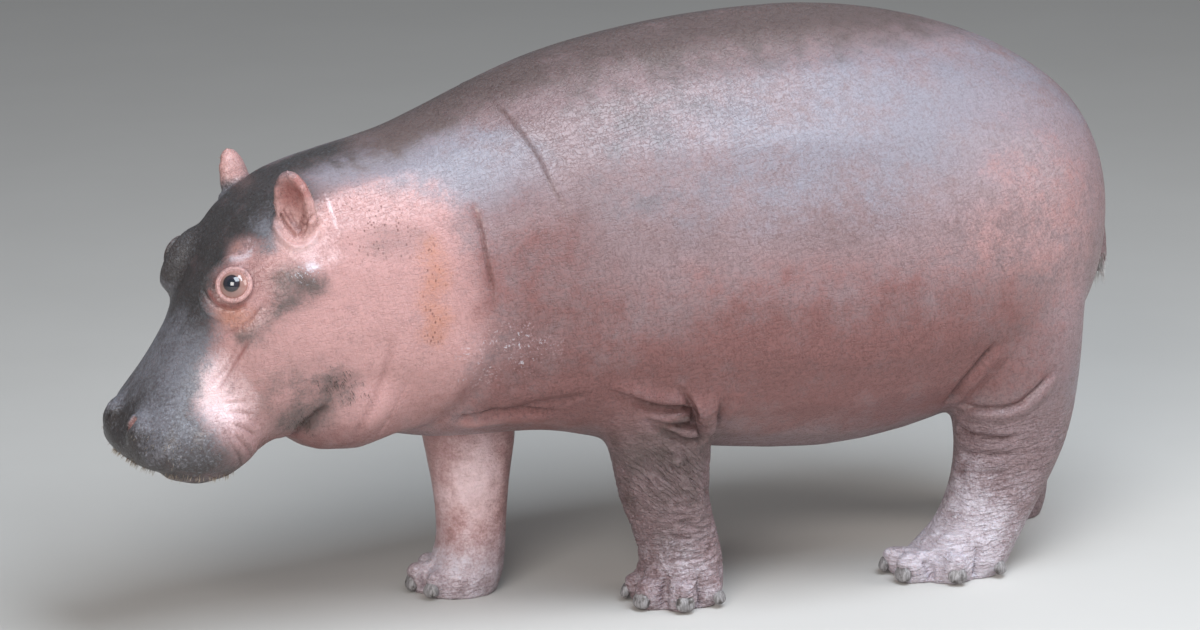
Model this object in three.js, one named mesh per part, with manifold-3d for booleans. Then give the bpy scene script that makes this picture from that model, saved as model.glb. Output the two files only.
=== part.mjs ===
// A hippopotamus calf about a year old, walking with its head low, as a still life-size model.
// Millimetres, +Z up. The calf faces -X, its left side is -Y, and its soles rest on z = 0.
// One closed form is lofted from named sections and joined with its legs, toes and rounded
// masses. Thin cuts then part it into the nodes of the body, and eyes and nails are set into it.
import * as THREE from "three";
import { mergeVertices } from "three/addons/utils/BufferGeometryUtils.js";
import Module from "manifold-3d";

const wasm = await Module();
wasm.setup();

// ---------------------------------------------------------------- driving dimensions
const GAP = 0.4; // between neighbouring nodes
const CENTRE_SHIFT = -43.2; // moves the finished calf so that its box is centred on x = 0
const REACH = 2400; // cutting blocks are this large, to pass right through the body

// Sections of head, neck and trunk, from the rump to the nose. Each lies in the plane through its
// top and bottom points, given as [x, z] on the middle plane. half is its half width, waist the
// height at which it is widest, as a share of its depth, and upper and lower the fullness of its
// two halves, where 2 is an ellipse and more is squarer.
const SECTIONS = {
  dock: { top: [732, 500], bottom: [731, 476], half: 4, waist: 0.5, upper: 2, lower: 2 },
  buttock: { top: [722, 578], bottom: [712, 372], half: 92, waist: 0.52, upper: 2, lower: 2 },
  rump: { top: [688, 642], bottom: [674, 300], half: 160, waist: 0.52, upper: 2, lower: 2.1 },
  croup: { top: [622, 694], bottom: [610, 246], half: 206, waist: 0.5, upper: 2, lower: 2.2 },
  hips: { top: [535, 736], bottom: [525, 218], half: 236, waist: 0.46, upper: 2, lower: 2.2 },
  loin: { top: [420, 770], bottom: [415, 190], half: 252, waist: 0.44, upper: 2, lower: 2.1 },
  barrel: { top: [290, 788], bottom: [290, 180], half: 256, waist: 0.42, upper: 2, lower: 2.1 },
  ribs: { top: [150, 786], bottom: [150, 194], half: 246, waist: 0.42, upper: 2, lower: 2.1 },
  girth: { top: [20, 772], bottom: [30, 212], half: 222, waist: 0.44, upper: 2, lower: 2.2 },
  withers: { top: [-90, 750], bottom: [-80, 232], half: 198, waist: 0.46, upper: 2, lower: 2.2 },
  shoulder: { top: [-190, 716], bottom: [-180, 244], half: 176, waist: 0.46, upper: 2, lower: 2.2 },
  neck: { top: [-300, 674], bottom: [-275, 252], half: 160, waist: 0.46, upper: 2, lower: 2.1 },
  nape: { top: [-392, 652], bottom: [-345, 268], half: 150, waist: 0.47, upper: 2.1, lower: 2.1 },
  poll: { top: [-468, 628], bottom: [-405, 278], half: 142, waist: 0.45, upper: 2.5, lower: 2.3 },
  crown: { top: [-530, 582], bottom: [-450, 284], half: 134, waist: 0.45, upper: 2.9, lower: 2.4 },
  brow: { top: [-574, 510], bottom: [-490, 278], half: 120, waist: 0.42, upper: 2.9, lower: 2.4 },
  bridge: { top: [-608, 444], bottom: [-516, 262], half: 102, waist: 0.38, upper: 2.3, lower: 2.3 },
  snout: { top: [-643, 388], bottom: [-548, 240], half: 98, waist: 0.42, upper: 2.4, lower: 2.3 },
  muzzle: { top: [-667, 346], bottom: [-602, 246], half: 110, waist: 0.44, upper: 2.4, lower: 2.3 },
  nostrils: { top: [-682, 312], bottom: [-652, 254], half: 100, waist: 0.46, upper: 2.4, lower: 2.3 },
  lip: { top: [-691, 294], bottom: [-678, 264], half: 66, waist: 0.5, upper: 2.2, lower: 2.2 },
  nose: { top: [-694, 285], bottom: [-692, 279], half: 4, waist: 0.5, upper: 2, lower: 2 },
};
const RINGS_PER_SECTION = 2;
const BODY_SIDES = 20;

// Rounded masses that stand out from the lofted form, one on each side of the middle plane.
const MASSES = {
  eyeMound: { at: [-556, 74, 498], radii: [52, 36, 40], pitch: 40 },
  nostrilMound: { at: [-664, 43, 309], radii: [33, 29, 25], pitch: 40 },
  jowl: { at: [-392, 24, 344], radii: [118, 114, 90], pitch: 6 },
};
const MASS_DETAIL = [12, 8];

// The upper lip hangs over the lower jaw in a rounded flew on each side.
const FLEW = { at: [-588, 57, 301], radii: [84, 60, 61], pitch: 20 };

// Each leg as level sections from the body down to the sole: height z, then centre x, distance
// y from the middle plane, and half lengths along the body and across it.
const LEGS = {
  fore_left: {
    side: -1,
    turnout: 48,
    sections: [
      { z: 440, x: -26, y: 110, along: 40, across: 26 },
      { z: 400, x: -16, y: 118, along: 98, across: 52 },
      { z: 310, x: 16, y: 118, along: 92, across: 66 },
      { z: 210, x: 42, y: 100, along: 68, across: 60 },
      { z: 150, x: 52, y: 92, along: 60, across: 57 },
      { z: 100, x: 70, y: 88, along: 56, across: 53 },
      { z: 60, x: 80, y: 86, along: 55, across: 53 },
      { z: 24, x: 76, y: 86, along: 60, across: 57 },
      { z: 0, x: 74, y: 86, along: 56, across: 53 },
    ],
  },
  fore_right: {
    side: 1,
    turnout: 40,
    sections: [
      { z: 440, x: -120, y: 100, along: 40, across: 26 },
      { z: 400, x: -130, y: 108, along: 88, across: 48 },
      { z: 310, x: -144, y: 108, along: 84, across: 60 },
      { z: 210, x: -152, y: 94, along: 64, across: 54 },
      { z: 150, x: -154, y: 86, along: 52, across: 50 },
      { z: 100, x: -154, y: 84, along: 47, across: 48 },
      { z: 60, x: -156, y: 84, along: 47, across: 48 },
      { z: 24, x: -168, y: 84, along: 54, across: 53 },
      { z: 0, x: -174, y: 84, along: 50, across: 49 },
    ],
  },
  hind_left: {
    side: -1,
    turnout: 50,
    sections: [
      { z: 480, x: 545, y: 136, along: 50, across: 34 },
      { z: 430, x: 545, y: 146, along: 104, across: 66 },
      { z: 330, x: 549, y: 144, along: 102, across: 76 },
      { z: 250, x: 557, y: 136, along: 92, across: 70 },
      { z: 180, x: 560, y: 127, along: 79, across: 63 },
      { z: 120, x: 546, y: 121, along: 69, across: 57 },
      { z: 66, x: 518, y: 120, along: 66, across: 56 },
      { z: 24, x: 482, y: 120, along: 78, across: 60 },
      { z: 0, x: 470, y: 120, along: 78, across: 56 },
    ],
  },
  hind_right: {
    side: 1,
    turnout: 50,
    sections: [
      { z: 480, x: 560, y: 130, along: 50, across: 34 },
      { z: 430, x: 572, y: 138, along: 98, across: 64 },
      { z: 330, x: 604, y: 132, along: 94, across: 70 },
      { z: 250, x: 636, y: 122, along: 76, across: 64 },
      { z: 180, x: 664, y: 112, along: 62, across: 56 },
      { z: 120, x: 682, y: 108, along: 55, across: 52 },
      { z: 66, x: 690, y: 106, along: 53, across: 52 },
      { z: 24, x: 682, y: 106, along: 58, across: 54 },
      { z: 0, x: 678, y: 106, along: 54, across: 50 },
    ],
  },
};
const TAIL = [
  { z: 550, x: 704, along: 26, across: 24 },
  { z: 495, x: 740, along: 24, across: 22 },
  { z: 435, x: 756, along: 18, across: 15 },
  { z: 385, x: 766, along: 14, across: 8 },
  { z: 366, x: 768, along: 8, across: 4 },
].map((section) => ({ ...section, y: 0 }));
const TAIL_SIDES = 8;
const LEG_SIDES = 12;
const LEG_SQUARENESS = 2.2;
const ANKLE_Z = 74;
const LEG_TOP_Z = 196;

// Four toes to a foot, fanned round its front from the inner to the outer, each with one nail.
const TOES = [
  { fan: -72, size: 0.84 },
  { fan: -26, size: 1 },
  { fan: 27, size: 1 },
  { fan: 74, size: 0.84 },
];
const TOE = { inset: 12, length: 34, width: 21, height: 25, z: 19 };
const NAIL = { inset: -13, length: 10, width: 14, height: 13, z: 15 };

const EYE = { at: [-561, 92, 504], radii: [22, 22, 22], pitch: 0 };
const EARS = {
  left: { base: [-471, -98, 560], tip: [-493, -107, 652] },
  right: { base: [-476, 98, 558], tip: [-492, 106, 639] },
};
const EAR = { width: 28, depth: 18, facing: 50, roundness: 0.62 };
const EAR_CUP = { width: 0.74, depth: 0.95, height: 0.82, forward: 0.78, raise: 0.5 };
const NOSTRIL = { at: [-682, 45, 319], radii: [7, 7, 14], pitch: 40 };

// Planes that part the body, as a point and the direction that leads towards the head.
const NECK_FRONT = { at: [-352, 0, 470], towards: [-0.94, 0, -0.34] };
const NECK_BACK = { at: [-176, 0, 480], towards: [-0.97, 0, -0.24] };
const MOUTH = { at: [-700, 0, 270], towards: [0.1, 0, -1] };
const JAW_BACK = { at: [-500, 0, 240], towards: [-1, 0, 0] };

// ---------------------------------------------------------------- solids
function solidOf(geometry) {
  const bare = new THREE.BufferGeometry();
  bare.setAttribute("position", geometry.getAttribute("position"));
  bare.setIndex(geometry.index);
  const merged = mergeVertices(bare, 1e-4);
  const solid = new wasm.Manifold(
    new wasm.Mesh({
      numProp: 3,
      vertProperties: new Float32Array(merged.getAttribute("position").array),
      triVerts: new Uint32Array(merged.index.array),
    }),
  );
  return solid;
}

function geometryOf(solid) {
  const mesh = solid.getMesh();
  const points = new Float32Array(mesh.numVert * 3);
  for (let i = 0; i < mesh.numVert; i++)
    points.set(mesh.vertProperties.subarray(i * mesh.numProp, i * mesh.numProp + 3), i * 3);
  const geometry = new THREE.BufferGeometry();
  geometry.setAttribute("position", new THREE.BufferAttribute(points, 3));
  geometry.setIndex(new THREE.BufferAttribute(new Uint32Array(mesh.triVerts), 1));
  geometry.computeVertexNormals();
  return geometry;
}

// The main body of a solid, without any crumb that a cut may have left beside it.
function whole(solid) {
  return solid.decompose().reduce((best, next) => (next.volume() > best.volume() ? next : best));
}

function joined(solids) {
  return solids.reduce((sum, next) => sum.add(next));
}

// A closed skin over rings of points, with the first and last ring drawn in to a point.
function skinned(rings) {
  const sides = rings[0].length;
  const points = rings.flat();
  const faces = [];
  for (let r = 0; r + 1 < rings.length; r++)
    for (let i = 0; i < sides; i++) {
      const a = r * sides + i;
      const b = r * sides + ((i + 1) % sides);
      faces.push([a, b, b + sides], [a, b + sides, a + sides]);
    }
  for (const start of [0, (rings.length - 1) * sides]) {
    const centre = new THREE.Vector3();
    for (let i = 0; i < sides; i++) centre.addScaledVector(points[start + i], 1 / sides);
    points.push(centre);
    for (let i = 0; i < sides; i++) {
      const edge = [start + i, start + ((i + 1) % sides)];
      if (start === 0) edge.reverse();
      faces.push([...edge, points.length - 1]);
    }
  }
  const geometry = new THREE.BufferGeometry().setFromPoints(points);
  geometry.setIndex(faces.flat());
  const solid = solidOf(geometry);
  if (solid.volume() > 0) return solid;
  geometry.setIndex(faces.map((face) => face.reverse()).flat());
  return solidOf(geometry);
}

// The value at t along a list, on a Catmull-Rom curve through the list's values.
function smoothly(values, t) {
  const i = Math.min(Math.floor(t), values.length - 2);
  const f = t - i;
  const [p0, p1, p2, p3] = [-1, 0, 1, 2].map((k) => values[clamp(i + k, values.length)]);
  const bend = f * (2 * p0 - 5 * p1 + 4 * p2 - p3 + f * (3 * (p1 - p2) + p3 - p0));
  return p1 + 0.5 * f * (p2 - p0 + bend);
}

function clamp(k, length) {
  return Math.max(0, Math.min(length - 1, k));
}

function fuller(value, fullness) {
  return Math.sign(value) * Math.abs(value) ** (2 / fullness);
}

function ellipsoid(centre, radii, { pitch = 0, yaw = 0, detail = MASS_DETAIL } = {}) {
  const geometry = new THREE.SphereGeometry(1, ...detail);
  geometry.scale(...radii);
  geometry.rotateY(THREE.MathUtils.degToRad(-pitch));
  geometry.rotateZ(THREE.MathUtils.degToRad(yaw));
  geometry.translate(...centre);
  return solidOf(geometry);
}

// Everything on the far side of a plane, drawn back from it by half the gap.
function beyond({ at, towards }, sign = 1) {
  const normal = new THREE.Vector3(...towards).normalize().multiplyScalar(sign);
  const geometry = new THREE.BoxGeometry(REACH, REACH, REACH);
  geometry.applyQuaternion(
    new THREE.Quaternion().setFromUnitVectors(new THREE.Vector3(1, 0, 0), normal),
  );
  geometry.translate(...new THREE.Vector3(...at).addScaledVector(normal, (REACH + GAP) / 2));
  return solidOf(geometry);
}

function block(low, high) {
  const size = low.map((value, i) => high[i] - value);
  const geometry = new THREE.BoxGeometry(...size);
  geometry.translate(...low.map((value, i) => value + size[i] / 2));
  return solidOf(geometry);
}

// ---------------------------------------------------------------- the body in one piece
function bodyLoft() {
  const list = Object.values(SECTIONS);
  const rings = [];
  for (let k = 0; k <= (list.length - 1) * RINGS_PER_SECTION; k++) {
    const at = (read) => smoothly(list.map(read), k / RINGS_PER_SECTION);
    const [topX, topZ, bottomX, bottomZ] = [
      at((s) => s.top[0]),
      at((s) => s.top[1]),
      at((s) => s.bottom[0]),
      at((s) => s.bottom[1]),
    ];
    const waist = at((s) => s.waist);
    const ring = [];
    for (let i = 0; i < BODY_SIDES; i++) {
      const turn = (2 * Math.PI * i) / BODY_SIDES;
      const up = Math.sin(turn) >= 0;
      const fullness = at((s) => (up ? s.upper : s.lower));
      const share = waist + (up ? 1 - waist : waist) * fuller(Math.sin(turn), fullness);
      ring.push(
        new THREE.Vector3(
          bottomX + (topX - bottomX) * share,
          at((s) => s.half) * fuller(Math.cos(turn), fullness),
          bottomZ + (topZ - bottomZ) * share,
        ),
      );
    }
    rings.push(ring);
  }
  return skinned(rings);
}

function pair({ at: [x, y, z], radii, pitch }, grow = 0, detail = MASS_DETAIL) {
  const grown = radii.map((radius) => radius + grow);
  return [-1, 1].map((side) => ellipsoid([x, side * y, z], grown, { pitch, detail }));
}

function limbLoft({ sections, side, sides = LEG_SIDES }) {
  const rings = [];
  for (let k = 0; k <= (sections.length - 1) * 2; k++) {
    const at = (read) => smoothly(sections.map(read), k / 2);
    const ring = [];
    for (let i = 0; i < sides; i++) {
      const turn = (2 * Math.PI * i) / sides;
      ring.push(
        new THREE.Vector3(
          at((s) => s.x) + at((s) => s.along) * fuller(Math.cos(turn), LEG_SQUARENESS),
          side * (at((s) => s.y) + at((s) => s.across) * fuller(Math.sin(turn), LEG_SQUARENESS)),
          at((s) => s.z),
        ),
      );
    }
    rings.push(ring);
  }
  return skinned(rings);
}

// One rounded piece for each toe of a leg, placed on the rim of its sole.
function roundToes({ sections, side, turnout }, piece, detail) {
  const sole = sections.at(-1);
  return TOES.map(({ fan, size }) => {
    const turn = THREE.MathUtils.degToRad(fan + turnout);
    const reach = (half) => half - piece.inset;
    const centre = [
      sole.x - reach(sole.along) * Math.cos(turn),
      side * (sole.y + reach(sole.across) * Math.sin(turn)),
      piece.z,
    ];
    const radii = [piece.length, piece.width, piece.height].map((value) => value * size);
    return ellipsoid(centre, radii, { yaw: -side * (fan + turnout), detail });
  });
}

// The upright block that cuts a stretch of a leg out of the body, from one height to another.
function legColumn({ sections, side }, low, high, grow = 0) {
  const within = sections.filter(({ z }) => z > low - 20 && z < high + 60);
  const toes = low < 0 ? TOE.length - TOE.inset + NAIL.length : 0;
  const front = Math.min(...within.map(({ x, along }) => x - along)) - toes - grow;
  const rear = Math.max(...within.map(({ x, along }) => x + along)) + grow;
  const across = [0, side * REACH].sort((a, b) => a - b);
  return block([front, across[0], low], [rear, across[1], high]);
}

const FLOOR = block([-REACH, -REACH, -REACH], [REACH, REACH, 0]);
const UP = new THREE.Vector3(0, 0, 1);
const EAR_DETAIL = [10, 7];
const TOE_DETAIL = [7, 5];
const NAIL_DETAIL = [6, 4];

function legSolid(leg) {
  return joined([limbLoft(leg), ...roundToes(leg, TOE, TOE_DETAIL)]).subtract(FLOOR);
}

// An upright rounded shell with a hollow that opens forwards and outwards.
function earSolid({ base, tip }) {
  const [foot, point] = [new THREE.Vector3(...base), new THREE.Vector3(...tip)];
  const height = foot.distanceTo(point) * EAR.roundness;
  const upright = point.clone().sub(foot).normalize();
  const facing = THREE.MathUtils.degToRad(-Math.sign(base[1]) * EAR.facing);
  const turned = new THREE.Quaternion()
    .setFromUnitVectors(UP, upright)
    .multiply(new THREE.Quaternion().setFromAxisAngle(UP, facing));
  const centre = point.addScaledVector(upright, -height);
  const shell = (depth, width, tall, forward, raise) => {
    const geometry = new THREE.SphereGeometry(1, ...EAR_DETAIL);
    geometry.rotateX(Math.PI / 2);
    geometry.scale(depth, width, tall);
    geometry.translate(-forward, 0, raise);
    geometry.applyQuaternion(turned);
    geometry.translate(...centre);
    return solidOf(geometry);
  };
  const hollow = shell(
    EAR.depth * EAR_CUP.depth,
    EAR.width * EAR_CUP.width,
    height * EAR_CUP.height,
    EAR.depth * EAR_CUP.forward,
    EAR.depth * EAR_CUP.raise,
  );
  return shell(EAR.depth, EAR.width, height, 0, 0).subtract(hollow);
}

// ---------------------------------------------------------------- parting it into nodes
const SKIN = { skin: [0x8d7673, 0.55], face: [0xa57a74, 0.5], leg: [0x8f7e80, 0.6] };
const FINISH = { ...SKIN, ear: [0xb07f78, 0.55], eye: [0x1c1a1c, 0.08], nail: [0x6e6a66, 0.5] };

const nodes = [];
function node(name, solid, finish) {
  const [color, roughness] = FINISH[finish];
  nodes.push({ name, solid: whole(solid), color, roughness });
}

let body = joined([
  bodyLoft(),
  ...Object.values(MASSES).flatMap((mass) => pair(mass)),
  ...Object.values(LEGS).map(legSolid),
]);

for (const hole of [...pair(EYE, GAP), ...pair(NOSTRIL, 0, NAIL_DETAIL)]) {
  body = body.subtract(hole);
}
const [eyeLeft, eyeRight] = pair(EYE);
node("eye_left", eyeLeft, "eye");
node("eye_right", eyeRight, "eye");
for (const [side, ear] of Object.entries(EARS))
  node(`ear_${side}`, earSolid(ear).subtract(body).translate(0, 0, GAP), "ear");

const tail = limbLoft({ sections: TAIL, side: 1, sides: TAIL_SIDES });
node("tail", tail.subtract(body).translate(GAP, 0, 0), "skin");

const NAIL_SOCKET = { ...NAIL };
for (const size of ["length", "width", "height"]) NAIL_SOCKET[size] += GAP;
for (const [name, leg] of Object.entries(LEGS)) {
  roundToes(leg, NAIL, NAIL_DETAIL).forEach((nail, i) => {
    node(`nail_${name}_${i + 1}`, nail.subtract(FLOOR), "nail");
  });
  for (const hole of roundToes(leg, NAIL_SOCKET, NAIL_DETAIL)) body = body.subtract(hole);
}

for (const [name, leg] of Object.entries(LEGS)) {
  const foot = legColumn(leg, -1, ANKLE_Z);
  const shank = legColumn(leg, ANKLE_Z + GAP, LEG_TOP_Z);
  node(name.replace("_", "_foot_"), body.intersect(foot), "leg");
  node(name.replace("_", "_leg_"), body.intersect(shank), "leg");
  body = body.subtract(foot).subtract(legColumn(leg, ANKLE_Z - GAP, LEG_TOP_Z + GAP, GAP));
}

node("trunk", body.intersect(beyond(NECK_BACK, -1)), "skin");
node("neck", body.intersect(beyond(NECK_FRONT, -1)).intersect(beyond(NECK_BACK)), "skin");
const front = body.intersect(beyond(NECK_FRONT));
const jaw = front.intersect(beyond(MOUTH)).intersect(beyond(JAW_BACK));
node("lower_jaw", jaw.subtract(joined(pair(FLEW, GAP))), "face");
const skull = joined([
  front.intersect(beyond(MOUTH, -1)),
  front.intersect(beyond(JAW_BACK, -1)),
  ...pair(FLEW),
]);
node("head", skull, "face");

const root = new THREE.Group();
root.position.x = CENTRE_SHIFT;
for (const { name, solid, color, roughness } of nodes) {
  const mesh = new THREE.Mesh(
    geometryOf(solid),
    new THREE.MeshStandardMaterial({ color, roughness, metalness: 0 }),
  );
  mesh.name = name;
  root.add(mesh);
}
export default root;
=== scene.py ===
"""A hippopotamus calf as a still, life-size model.

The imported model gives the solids. One skin replaces every node of flesh, the eyes and the nails
are made anew in their places, and short bristles grow on the lips, cheeks, ears and tail.
"""

import logging
import math
from dataclasses import dataclass
from enum import Enum

import bmesh
import bpy
import numpy as np
from mathutils import Matrix, Vector, noise
from mathutils.bvhtree import BVHTree


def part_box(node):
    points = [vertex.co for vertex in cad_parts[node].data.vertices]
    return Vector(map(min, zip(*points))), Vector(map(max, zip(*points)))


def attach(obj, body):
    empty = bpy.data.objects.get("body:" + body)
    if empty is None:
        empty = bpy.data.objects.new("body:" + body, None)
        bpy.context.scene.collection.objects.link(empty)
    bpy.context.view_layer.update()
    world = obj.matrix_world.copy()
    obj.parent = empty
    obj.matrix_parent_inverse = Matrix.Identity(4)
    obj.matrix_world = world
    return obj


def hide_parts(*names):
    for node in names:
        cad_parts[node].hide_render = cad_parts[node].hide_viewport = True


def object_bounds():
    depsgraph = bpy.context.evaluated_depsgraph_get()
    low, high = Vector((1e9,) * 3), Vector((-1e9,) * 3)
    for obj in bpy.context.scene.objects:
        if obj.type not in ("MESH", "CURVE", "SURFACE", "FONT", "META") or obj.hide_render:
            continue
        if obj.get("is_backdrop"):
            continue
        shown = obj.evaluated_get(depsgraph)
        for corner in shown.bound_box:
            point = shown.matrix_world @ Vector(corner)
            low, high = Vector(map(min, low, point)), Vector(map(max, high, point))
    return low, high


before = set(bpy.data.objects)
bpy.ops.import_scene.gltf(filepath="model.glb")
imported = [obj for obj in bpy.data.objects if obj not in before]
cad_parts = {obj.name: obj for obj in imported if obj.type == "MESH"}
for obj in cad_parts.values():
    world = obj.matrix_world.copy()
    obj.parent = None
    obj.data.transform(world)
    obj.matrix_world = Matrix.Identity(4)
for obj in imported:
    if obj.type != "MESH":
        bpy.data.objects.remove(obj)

LOG = logging.getLogger("hippopotamus")
Point = tuple[float, float, float]
Colour = tuple[float, float, float]
Array = np.ndarray

ROOT = "root"
MM = 0.001
MIRROR = (1.0, -1.0, 1.0)
SIDES = {"left": -1, "right": 1}


# ------------------------------------------------------------------ shader maths
class Wire:
    """An output socket of a material, on which Python's operators add Math nodes."""

    def __init__(self, graph: "Graph", socket: bpy.types.NodeSocket) -> None:
        """Keeps the socket and the graph that it belongs to."""
        self.graph = graph
        self.socket = socket

    def _math(self, operation: str, first: "Wire | float", second: "Wire | float") -> "Wire":
        """One Math node on two values."""
        return self.graph.node("ShaderNodeMath", {"operation": operation}, {0: first, 1: second})

    def __add__(self, other: "Wire | float") -> "Wire":
        """Sum."""
        return self._math("ADD", self, other)

    def __sub__(self, other: "Wire | float") -> "Wire":
        """Difference."""
        return self._math("SUBTRACT", self, other)

    def __rsub__(self, other: float) -> "Wire":
        """Difference from a number."""
        return self._math("SUBTRACT", other, self)

    def __mul__(self, other: "Wire | float") -> "Wire":
        """Product."""
        return self._math("MULTIPLY", self, other)

    __radd__ = __add__
    __rmul__ = __mul__

    def step(self, low: float, high: float) -> "Wire":
        """A smooth rise from 0 at low to 1 at high.

        Args:
            low: The value where the rise starts.
            high: The value where it ends. It may be the lower one, for a fall.

        Returns:
            The wire of the risen value.
        """
        return self.graph.node(
            "ShaderNodeMapRange",
            {"interpolation_type": "SMOOTHSTEP"},
            {"Value": self, "From Min": low, "From Max": high},
        )


class Graph:
    """The node tree of one material, ending in a Principled BSDF."""

    def __init__(self, name: str) -> None:
        """Starts a material of that name with a bare Principled BSDF."""
        self.material = bpy.data.materials.new(name)
        self.material.use_nodes = True
        self.tree = self.material.node_tree
        self.shader = self.tree.nodes["Principled BSDF"]
        self.place = self.node("ShaderNodeTexCoord", output="Object")

    def node(
        self,
        kind: str,
        settings: dict | None = None,
        inputs: dict | None = None,
        output: int | str = 0,
    ) -> Wire:
        """Adds a node.

        Args:
            kind: The node's type.
            settings: Its properties, and for a colour ramp its "stops", set before the sockets.
            inputs: Values or wires, by the socket's name or number.
            output: The socket that is wanted, by name or number.

        Returns:
            The wire of that output.
        """
        made = self.tree.nodes.new(kind)
        for name, value in (settings or {}).items():
            if name == "stops":
                elements = made.color_ramp.elements
                while len(elements) < len(value):
                    elements.new(1.0)
                for element, (at, colour) in zip(elements, value):
                    element.position, element.color = at, (*colour, 1.0)
            else:
                setattr(made, name, value)
        for name, value in (inputs or {}).items():
            self.plug(made.inputs[name], value)
        return Wire(self, made.outputs[output])

    def plug(self, socket: bpy.types.NodeSocket, value: "Wire | float | tuple") -> None:
        """Links a wire to a socket, or sets the socket's own value."""
        if isinstance(value, Wire):
            self.tree.links.new(value.socket, socket)
        elif isinstance(value, tuple) and socket.type == "RGBA":
            socket.default_value = (*value, 1.0)
        else:
            socket.default_value = value

    def mix(self, amount: Wire | float, below: Wire | Colour, above: Wire | Colour) -> Wire:
        """One colour laid over another by an amount."""
        inputs = {0: amount, 6: below, 7: above}
        return self.node("ShaderNodeMix", {"data_type": "RGBA"}, inputs, output=2)

    def darken(self, colour: Wire, amount: Wire, shade: Colour) -> Wire:
        """A colour multiplied by a shade where the amount is 1."""
        inputs = {0: amount, 6: colour, 7: shade}
        settings = {"data_type": "RGBA", "blend_type": "MULTIPLY"}
        return self.node("ShaderNodeMix", settings, inputs, output=2)

    def stretched(self, scale: Point, turn: Point = (0.0, 0.0, 0.0)) -> Wire:
        """The place on the object, turned and then stretched along its axes.

        Args:
            scale: How many times the pattern is finer along each axis.
            turn: The turn about each axis, in degrees.

        Returns:
            The wire of the changed place.
        """
        angles = tuple(math.radians(angle) for angle in turn)
        turned = self.node(
            "ShaderNodeVectorRotate",
            {"rotation_type": "EULER_XYZ"},
            {"Vector": self.place, "Rotation": angles},
        )
        return self.node("ShaderNodeMapping", None, {"Vector": turned, "Scale": scale})

    def noise(
        self, scale: float, detail: float = 3.0, place: Wire | None = None, rough: float = 0.55
    ) -> Wire:
        """Cloudy noise from 0 to 1.

        Args:
            scale: How many clouds there are in a metre.
            detail: The octaves.
            place: Where it is read, or the place on the object.
            rough: How strong the finer octaves are.

        Returns:
            The wire of the noise.
        """
        inputs = {"Vector": place or self.place, "Scale": scale, "Detail": detail}
        return self.node("ShaderNodeTexNoise", None, {**inputs, "Roughness": rough})

    def cells(self, feature: str, scale: float, place: Wire | None = None) -> Wire:
        """Distance in a pattern of cells, to their edges or to their middles."""
        inputs = {"Vector": place or self.place, "Scale": scale}
        return self.node("ShaderNodeTexVoronoi", {"feature": feature}, inputs, "Distance")

    def mask(self, name: str) -> Wire:
        """A mask that is stored on the mesh."""
        return self.node("ShaderNodeAttribute", {"attribute_name": name}, None, "Fac")

    def bump(self, height: Wire, depth: float, below: Wire | None = None) -> Wire:
        """A bump of a real depth, over another bump.

        Args:
            height: The height, from 0 to 1.
            depth: What a height of 1 stands for, in metres.
            below: The normal that it adds to.

        Returns:
            The wire of the normal.
        """
        inputs = {"Height": height, "Distance": depth, "Strength": 1.0}
        if below:
            inputs["Normal"] = below
        return self.node("ShaderNodeBump", None, inputs)

    def finish(self, **inputs: "Wire | float | tuple") -> bpy.types.Material:
        """Plugs values into the shader, whose socket names have _ for a space, and ends it."""
        for name, value in inputs.items():
            self.plug(self.shader.inputs[name.replace("_", " ")], value)
        return self.material


# ------------------------------------------------------------------ arrays of points
def rise(values: Array, low: float, high: float) -> Array:
    """A smooth rise from 0 at low to 1 at high, or a fall where high is the lower one."""
    share = np.clip((values - low) / (high - low), 0.0, 1.0)
    return share * share * (3.0 - 2.0 * share)


def bell(distance: Array, width: float) -> Array:
    """A bell that is 1 at distance 0 and fades over the width."""
    return np.exp(-((distance / width) ** 2))


def length(vectors: Array) -> Array:
    """The length of each row."""
    return np.sqrt((vectors**2).sum(axis=1))


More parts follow.
